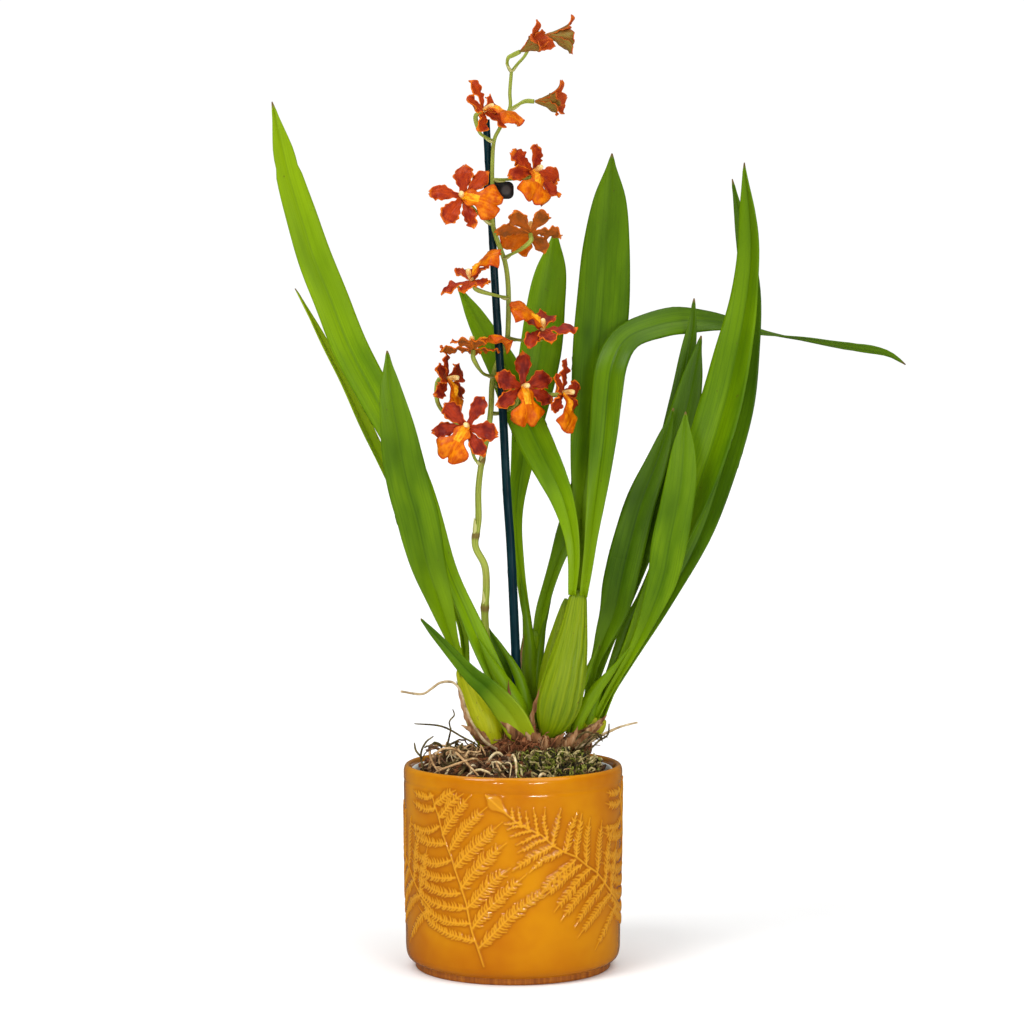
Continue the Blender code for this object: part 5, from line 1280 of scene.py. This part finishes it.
OPEN = {
    "bloom_04": ((-18.5, -28, 543), (0.78, -0.45, 0.42), (-0.4, 0.1, 0.9), 42,
                 ((-12, -12, 526), (-17, -17, 528), (-21, -23, 531))),
    "bloom_05": ((13, -14, 506), (0.6, -0.68, 0.4), (0.45, 0, 0.88), 0,
                 ((-13, -14, 502), (-5, -12, 502), (3, -9, 503))),
    "bloom_06": ((-31, -27, 490), (-0.1, -0.95, 0.25), (-0.93, 0, 0.3), 0,
                 ((-14, -14, 474), (-19, -16, 478))),
    "bloom_07": ((11, -20, 468), (0, 0.57, 0.82), (0.5, -0.7, 0.35), 0,
                 ((-6, -8, 453), (-1, -15, 455), (5, -20, 458))),
    "bloom_08": ((-25, -23, 438), (-0.35, -0.35, 0.87), (-0.9, 0.15, -0.36), 22,
                 ((-3, -2, 428), (-10, -12, 429))),
    "bloom_09": ((18, -14, 407), (0.05, -0.5, 0.85), (0.97, 0, 0.05), 34, ((-4, 2, 403), (5, -6, 401))),
    "bloom_10": ((-25, -22.5, 395), (-0.05, 0.2, 0.95), (-0.9, 0.35, 0.3), 0,
                 ((-12, 3, 378), (-19, -6, 380))),
    "bloom_11": ((-42, -8, 376), (0.9, -0.4, 0.1), (0, 0, 1), 0,
                 ((-18, -4, 333), (-29, 0, 343), (-41, -2, 352), (-48, -5, 362))),
    "bloom_12": ((-29, -26, 346), (-0.1, -0.97, 0.2), (0.5, 0, 0.86), 0, ((-21, -6, 322), (-25, -12, 328))),
    "bloom_13": ((6, -19.5, 371), (0.44, -0.88, 0.12), (-0.05, 0, 1), 0,
                 ((-15, 0, 355), (-8, 3, 355), (2, -1, 360))),
    "bloom_14": ((31, -15, 367), (0.9, -0.42, 0.1), (0.35, 0, 1), 0,
                 ((-13, 4, 373), (-2, 4, 371), (10, -2, 368))),
}
STEM_NODES = (0.09, 0.20, 0.31, 0.42)
finish = Finish("spike_skin", 0.42, Specular_IOR_Level=0.15)
streaks = finish.noise(finish.attribute("blade", "Vector"), 1.0, 3.0, (0.9, 0.03, 0))
skin = finish.ramp(streaks, (0.3, (0.17, 0.21, 0.020)), (0.52, (0.28, 0.33, 0.045)),
                   (0.75, (0.40, 0.44, 0.10)))
blush = finish.mixed(skin, (0.24, 0.14, 0.03), finish.noise(finish.place(), 60, 3.0), 0.58, 0.75, 0.4)
ringed = finish.mixed(blush, (0.14, 0.07, 0.02), finish.attribute("full"), 1.06, 1.18, 0.8)
spike_skin = finish.done(ringed, streaks, 0.2, 0.5)
finish = Finish("green_bract", 0.6, Specular_IOR_Level=0.25)
streaks = finish.noise(finish.attribute("blade", "Vector"), 1.0, 3.0, (1.6, 0.08, 0))
pale = finish.ramp(streaks, (0.3, (0.26, 0.27, 0.06)), (0.5, (0.42, 0.42, 0.13)), (0.75, (0.60, 0.56, 0.26)))
bract_skin = finish.done(pale, streaks, 0.15, 0.5)


def jointed(turn, t):
    """The stem's swelling at each node."""
    return 1 + sum(0.22 * math.exp(-((t - node) / 0.006) ** 2) for node in STEM_NODES)


bm = bmesh.new()
tube(bm, STEM, STEM_RADII, 14, 260, swell=jointed)
for hub, face, *_, route in [*HALF_OPEN.values(), *OPEN.values()]:
    look = Vector(face).normalized()
    end = Vector(hub) - look * 0.8
    tube(bm, [*route, end - look * 5.5, end], (1.05, 1.0, 1.0, 1.3, 1.5, 1.4), 10, 26)
spine = Path(STEM)
for share in STEM_NODES:
    foot = spine.at(share)
    heading = spine.heading(share)
    out = Vector((-0.5, -0.8, 0)).normalized()
    points = [foot + heading * k * 4 + out * (2.4 + 0.12 * k * k) for k in range(4)]
    scale_leaf(bm, points, 5, -out, 80, 1, 8, 6, 0.1)
for *_, route in [*HALF_OPEN.values(), *OPEN.values()]:
    start, way = Vector(route[0]), (Vector(route[1]) - Vector(route[0])).normalized()
    below = Vector((0, 0, -1))
    points = [start + below * 0.6, start + way * 3 + below * 1.7, start + way * 6 + below * 1.5,
              start + way * 8.5 + below * 1.0]
    scale_leaf(bm, points, 3.6, (0, 0, 1) if abs(way.z) < 0.9 else (0, 1, 0), 75, 1, 8, 5, 0.05)
spike = finished("spike_stem", bm, (spike_skin, bract_skin), 60)
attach(spike, "root")
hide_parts("flower_spike")


# Each bloom has three sepals and two petals, rust brown with crisped amber edges, and those of the
# top three still stand half closed. They are thin living tissue, waved and curled along the margin.
TEPALS = ((-30, 20.0, 8.6), (17, 18.5, 11.0), (90, 20.5, 9.0), (163, 18.5, 11.0), (210, 20.0, 8.6))
TEPAL_PROFILE = (0.36, 0.42, 0.62, 0.88, 1.04, 1.02, 0.78, 0.16)
HUB_RADIUS = 2.3
TEPAL_THICKNESS = 0.6
MAROON = ("bloom_09", "bloom_11", "bloom_12", "bloom_13", "bloom_14")
TEPAL_ROWS = 26
TEPAL_COLS = 12


def tepal_skin(name, middle, patch, edge, roughness=0.5, rim_from=0.72, barring=0.5, size=0.13, lines=0.5):
    """Petal skin: a deep middle with darker veins that breaks up towards a bright crisped margin."""
    finish = Finish(name, roughness, Specular_IOR_Level=0.12)
    blade = finish.attribute("blade", "Vector")
    blots = finish.noise(blade, 1.0, 2.0, (size * 1.3, size, 1.0))
    veins = finish.noise(blade, 1.0, 2.0, (1.5, 0.10, 1.0))
    ground = finish.mixed(middle, patch, blots, 0.42, 0.66, barring)
    veined = finish.mixed(ground, patch, veins, 0.42, 0.66, lines)
    rim = finish.nodes.new("ShaderNodeMath")
    rim.operation = 'ADD'
    finish.link(finish.axes(blade)["Z"], rim.inputs[0])
    finish.link(finish.band(blots, 0.3, 0.7, -0.20, 0.20), rim.inputs[1])
    return finish.done(finish.mixed(veined, edge, rim.outputs[0], rim_from, 1.0), veins, 0.18, 0.5)


petal_face = tepal_skin("petal_face", (0.43, 0.045, 0.002), (0.20, 0.009, 0.004), (0.72, 0.160, 0.002),
                        0.42, 0.58, 0.85)
petal_deep = tepal_skin("petal_deep", (0.35, 0.030, 0.005), (0.13, 0.007, 0.005), (0.68, 0.135, 0.003),
                        0.42, 0.68, 0.9)
petal_back = tepal_skin("petal_back", (0.40, 0.085, 0.006), (0.19, 0.055, 0.008), (0.60, 0.140, 0.004),
                        0.45, 0.66, 0.9)
bud_back = tepal_skin("bud_back", (0.22, 0.165, 0.028), (0.24, 0.036, 0.008), (0.36, 0.045, 0.006),
                      0.42, 0.55, 0.35, 0.05, 0.6)
bud_face = tepal_skin("bud_face", (0.42, 0.055, 0.005), (0.26, 0.020, 0.005), (0.56, 0.11, 0.006),
                      0.45, 0.62, 0.4, 0.05, 0.4)


def outwards(degrees):
    """The direction at an angle round the bloom's middle."""
    turn = math.radians(degrees)
    return Vector((math.cos(turn), math.sin(turn), 0))


def add_tepal(bm, layer, direction, length, width, rises, cupped, chance):
    """Adds one sepal or petal that starts at the bloom's middle; rises are in degrees above its plane."""
    made = bmesh.ops.create_grid(bm, x_segments=TEPAL_COLS, y_segments=TEPAL_ROWS, size=1)["verts"]
    out = outwards(direction)
    side = outwards(direction + 90)
    spot = out * 0.4
    lean = chance.uniform(-0.2, 0.2)
    twist = math.radians(chance.gauss(0, 18))
    tip_roll = chance.uniform(-45, 25) - 150 * cupped
    span = length + HUB_RADIUS - 0.4
    rows = []
    for step in range(TEPAL_ROWS + 1):
        t = step / TEPAL_ROWS
        reach = max(0.0, (t * (length + HUB_RADIUS) - HUB_RADIUS) / length)
        rise = rises[0] + (rises[1] - rises[0]) * reach + tip_roll * max(0.0, reach - 0.6) / 0.4
        rise = math.radians(rise)
        up = Vector((0, 0, 1)) * math.cos(rise) - out * math.sin(rise)
        half = smooth_along(TEPAL_PROFILE, reach) * width / 2
        if reach == 0.0:
            half = 0.16 * width * (0.5 + t * 4)
        turned_side = side * math.cos(twist * reach) + up * math.sin(twist * reach)
        turned_up = up * math.cos(twist * reach) - side * math.sin(twist * reach)
        rows.append((spot.copy(), turned_side, turned_up, half, reach))
        spot += (out * math.cos(rise) + Vector((0, 0, math.sin(rise)))) * span / TEPAL_ROWS
        spot += side * lean * length / TEPAL_ROWS * t
    slow, quick = chance.uniform(1.7, 2.5), chance.uniform(3.6, 5.2)
    phases = [chance.uniform(0, math.tau) for _ in range(6)]
    curl_back = chance.uniform(-0.25, 0.25) - cupped
    shade = chance.uniform(0, 40)
    for vert in made:
        u = vert.co.x
        middle, across, up, half, reach = rows[round((vert.co.y + 1) / 2 * TEPAL_ROWS)]
        hand = 0 if u < 0 else 1
        margin = abs(u) ** 2 * min(1.0, reach * 2.2)
        ruffle = margin * (1 - 1.7 * cupped) * (
            1.25 * math.sin(reach * slow * math.tau + phases[hand])
            + 0.70 * math.sin(reach * quick * math.tau + phases[2 + hand]))
        keel = -0.30 * math.exp(-(u * half / 0.8) ** 2) * min(1, reach * 5)
        spread = 1 + 0.10 * math.sin(reach * quick * math.tau + phases[4 + hand]) * abs(u) ** 3
        frayed = 0.5 * math.sin(u * 7 + phases[4]) * max(0.0, reach - 0.8) / 0.2
        vert.co = middle + across * u * half * spread + up * (ruffle + keel - curl_back * half * u * u)
        vert.co += across.cross(up) * -frayed
        vert[layer] = (u * half + shade, reach * length + shade, max(0.0, abs(u) ** 3, (reach - 0.7) / 0.3))


def place_bloom(bm, hub, face, up):
    """Moves a bloom made round +Z, in millimetres, to its place, facing the way it faces."""
    look = Vector(face).normalized()
    high = Vector(up) - look * Vector(up).dot(look)
    high.normalize()
    turn = Matrix((high.cross(look), high, look)).transposed().to_4x4()
    scale = Matrix.Scale(MM, 4)
    bmesh.ops.transform(bm, matrix=Matrix.Translation(Vector(hub) * MM) @ turn @ scale, verts=bm.verts)


for number, (name, entry) in enumerate([*HALF_OPEN.items(), *OPEN.items()]):
    hub, face, up = entry[:3]
    half_open = name in HALF_OPEN
    skins = (petal_deep if name in MAROON else petal_face, petal_back)
    if half_open:
        skins = (bud_face, bud_back)
    chance = random.Random(100 + number)
    bm = bmesh.new()
    layer = blade_layer(bm)
    for k in (0, 2, 4, 1, 3):
        direction, length, width = TEPALS[k]
        if half_open:
            rises = (70 + 5 * (k % 2), 56 + chance.uniform(-14, 8))
            direction += chance.uniform(-3, 3)
            add_tepal(bm, layer, direction, length * 1.02, width * 0.84, rises, 0.30, chance)
        else:
            rises = (14 + 4 * (k % 2), -14 + 4 * (k % 2) + chance.uniform(-8, 10))
            direction += chance.uniform(-4, 4)
            add_tepal(bm, layer, direction, length, width * 1.08, rises, 0.0, chance)
    bmesh.ops.reverse_faces(bm, faces=bm.faces)
    place_bloom(bm, hub, face, up)
    corolla = finished(name + "_corolla", bm, skins, 70)
    solid_blade(corolla, TEPAL_THICKNESS, 1)
    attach(corolla, "root")
    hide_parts(name if half_open else name + "_tepals")


# The lip is the bloom's big third petal: a narrow claw with a warty yellow crest that spreads into
# a broad, two-lobed, ruffled skirt. The pale column stands over it with its anther cap.
LIP_START = 0.8
LIP_LENGTH = 26.0
LIP_HALF_WIDTHS = (1.8, 5.8, 4.6, 10.6, 11.8, 9.8)
LIP_RISE = (2.2, 4.6, 5.6, 5.8, 4.2, 1.0)
LIP_COLS = 26
LIP_ROWS = 26
LIP_THICKNESS = 0.7
CREST = 2
CREST_HALF_WIDTH = 2.3
CREST_END = 0.46
COLUMN_LINE = ((0, 0.6, 0.7), (0, 0.8, 4.2), (0, 0.6, 6.6), (0, 0.2, 8.7))
COLUMN_RADII = (1.5, 1.5, 1.6, 1.7, 1.3)
lip_face = tepal_skin("lip_face", (0.47, 0.064, 0.0), (0.72, 0.195, 0.0), (0.44, 0.038, 0.001),
                      0.36, 0.60, 1.0, 0.2, 0.3)
lip_back = tepal_skin("lip_back", (0.60, 0.14, 0.003), (0.46, 0.07, 0.004), (0.66, 0.18, 0.006))
crest_skin = tepal_skin("crest_skin", (0.90, 0.44, 0.012), (0.72, 0.16, 0.004), (0.90, 0.46, 0.03),
                        0.4, 0.8, 0.9, 0.4)
column_skin = tepal_skin("column_skin", (0.80, 0.56, 0.20), (0.66, 0.26, 0.04), (0.84, 0.66, 0.32),
                         0.4, 0.8, 0.9, 0.3)


def hooded(turn, t):
    """The column's two small wings, and the round cap at its end."""
    wing = 0.22 * math.exp(-((t - 0.68) / 0.12) ** 2) * abs(math.cos(turn)) ** 3
    return (1 + wing) * (1 if t < 0.93 else math.sqrt(max(0.02, 1 - ((t - 0.93) / 0.075) ** 2)))


for number, (name, (hub, face, up, raised, _)) in enumerate(OPEN.items()):
    chance = random.Random(300 + number)
    swing = Matrix.Rotation(math.radians(-raised), 3, 'X')
    root = Vector((0, LIP_START, LIP_RISE[0]))
    phase = chance.uniform(0, math.tau)
    shade = chance.uniform(0, 40)
    bm = bmesh.new()
    layer = blade_layer(bm)
    bmesh.ops.create_grid(bm, x_segments=LIP_COLS, y_segments=LIP_ROWS, size=1)
    for vert in bm.verts:
        u, t = vert.co.x, (vert.co.y + 1) / 2
        half = smooth_along(LIP_HALF_WIDTHS, t)
        outer = max(0.0, (t - 0.5) / 0.5)
        corner = 6.4 * outer ** 1.6 * max(0.0, (abs(u) - 0.30) / 0.70) ** 2.4
        notch = 3.0 * math.exp(-(u / 0.12) ** 2) * max(0.0, t - 0.6) / 0.4
        skirt = outer ** 1.2 * (0.25 + 0.75 * abs(u) ** 1.5)
        ruffle = skirt * (1.3 * math.sin(8.5 * u + 6 * t + phase) + 0.9 * math.sin(15 * t + 5 * u - phase))
        ruffle += abs(u) ** 2 * (1 - outer) * 1.0 * math.sin(t * 17 + phase)
        swollen = 2.2 * outer * math.exp(-((abs(u) - 0.5) / 0.3) ** 2)
        crest = 1.9 * math.exp(-((t - 0.27) / 0.12) ** 2) * math.exp(-(u / 0.26) ** 2)
        crest *= 1 + 0.4 * math.sin(t * 62) * math.cos(u * 16)
        droop = swollen - 1.2 * u * u * math.sin(math.pi * t) - 2.2 * outer ** 2 * u ** 4
        reach = LIP_START - LIP_LENGTH * t + notch + corner
        flare = 1 + 0.05 * outer * math.sin(13 * t + 5 * abs(u) + phase)
        spot = Vector((u * half * flare, reach, smooth_along(LIP_RISE, t) + crest + droop + ruffle))
        vert.co = root + swing @ (spot - root)
        rim = max(abs(u) ** 3 * 0.95, outer ** 4, 0.72 * math.exp(-(u / 0.16) ** 2) * min(1, t * 2.2))
        vert[layer] = (u * half + shade, LIP_LENGTH * t + shade, rim)
    for facet in bm.faces:
        flat = root + swing.transposed() @ (facet.calc_center_median() - root)
        if abs(flat.x) < CREST_HALF_WIDTH and flat.y > LIP_START - LIP_LENGTH * CREST_END:
            facet.material_index = CREST
    bmesh.ops.reverse_faces(bm, faces=bm.faces)
    place_bloom(bm, hub, face, up)
    skirt = finished(name + "_skirt", bm, (lip_face, lip_back, crest_skin, lip_back), 70)
    solid_blade(skirt, LIP_THICKNESS, 1)
    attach(skirt, "root")
    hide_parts(name + "_lip")

    bm = bmesh.new()
    tube(bm, COLUMN_LINE, COLUMN_RADII, 20, 24, swell=hooded)
    for vert in bm.verts:
        vert.co /= MM
    place_bloom(bm, hub, face, up)
    column = finished(name + "_column", bm, (column_skin,), 60)
    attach(column, "root")


# The part stands on a plain white sweep under broad soft light, with two low strips that shine in
# the glaze, and is seen from the photograph's place.
WINDOWS = (
    ("left_window", (-0.95, -1.0, 1.5), 1.6, 28),
    ("right_window", (0.85, -0.9, 1.5), 0.85, 45),
    ("top_window", (0.0, 0.15, 1.6), 1.2, 60),
)
STRIPS = (
    ("key", (0.75, -1.55, 0.43), (0.55, 0.09), 7.0),
    ("fill", (-0.46, -1.65, 0.45), (0.35, 0.07), 3.4),
)
STRIP_AIM = (0, 0, 0.15)
CAMERA_PLACE = (0, -1.8, 0.379)
CAMERA_DOWN = 2.78
CAMERA_ANGLE = 20.56
ONE_PIXEL = 1 / 1024
bm = bmesh.new()
bmesh.ops.create_grid(bm, x_segments=8, y_segments=8, size=14)
finish = Finish("white_sweep", 0.9, Specular_IOR_Level=0.1)
paper = finish.noise(finish.place(), 40, 3.0)
white = finish.ramp(paper, (0.3, (0.95, 0.95, 0.95)), (0.7, (0.96, 0.96, 0.96)))
floor = finished("floor", bm, (finish.done(white),), 50)
floor.visible_glossy = False

world = bpy.data.worlds.new("studio")
bpy.context.scene.world = world
world.use_nodes = True
nodes, links = world.node_tree.nodes, world.node_tree.links
soft_light = nodes["Background"]
dark_flag = nodes.new("ShaderNodeBackground")
white_wall = nodes.new("ShaderNodeBackground")
for sky, strength in ((soft_light, 0.30), (dark_flag, 0.10), (white_wall, 1.05)):
    sky.inputs["Color"].default_value = (1, 1, 1, 1)
    sky.inputs["Strength"].default_value = strength
rays = nodes.new("ShaderNodeLightPath")
mirrored = nodes.new("ShaderNodeMixShader")
links.new(rays.outputs["Is Glossy Ray"], mirrored.inputs["Fac"])
links.new(soft_light.outputs["Background"], mirrored.inputs[1])
links.new(dark_flag.outputs["Background"], mirrored.inputs[2])
seen = nodes.new("ShaderNodeMixShader")
links.new(rays.outputs["Is Camera Ray"], seen.inputs["Fac"])
links.new(mirrored.outputs["Shader"], seen.inputs[1])
links.new(white_wall.outputs["Background"], seen.inputs[2])
links.new(seen.outputs["Shader"], nodes["World Output"].inputs["Surface"])


def lamp(name, kind, power, back):
    """A light of that kind that shines away from the direction at its back."""
    light = bpy.data.lights.new(name, kind)
    light.energy = power
    item = bpy.data.objects.new(name, light)
    item.rotation_euler = Vector(back).to_track_quat('Z', 'Y').to_euler()
    bpy.context.scene.collection.objects.link(item)
    return item


for name, way, strength, spread in WINDOWS:
    lamp(name, 'SUN', strength, way).data.angle = math.radians(spread)
for name, spot, (wide, tall), power in STRIPS:
    strip = lamp(name, 'AREA', power, Vector(spot) - Vector(STRIP_AIM))
    strip.location = spot
    strip.data.shape = 'RECTANGLE'
    strip.data.size = wide
    strip.data.size_y = tall

camera = bpy.data.objects.new("camera", bpy.data.cameras.new("camera"))
camera.location = CAMERA_PLACE
camera.rotation_euler = (math.radians(90 - CAMERA_DOWN), 0, 0)
camera.data.angle = math.radians(CAMERA_ANGLE)
camera.data.shift_x = -ONE_PIXEL
bpy.context.scene.collection.objects.link(camera)
bpy.context.scene.camera = camera
bpy.context.scene.view_settings.view_transform = 'Standard'

bpy.context.view_layer.update()
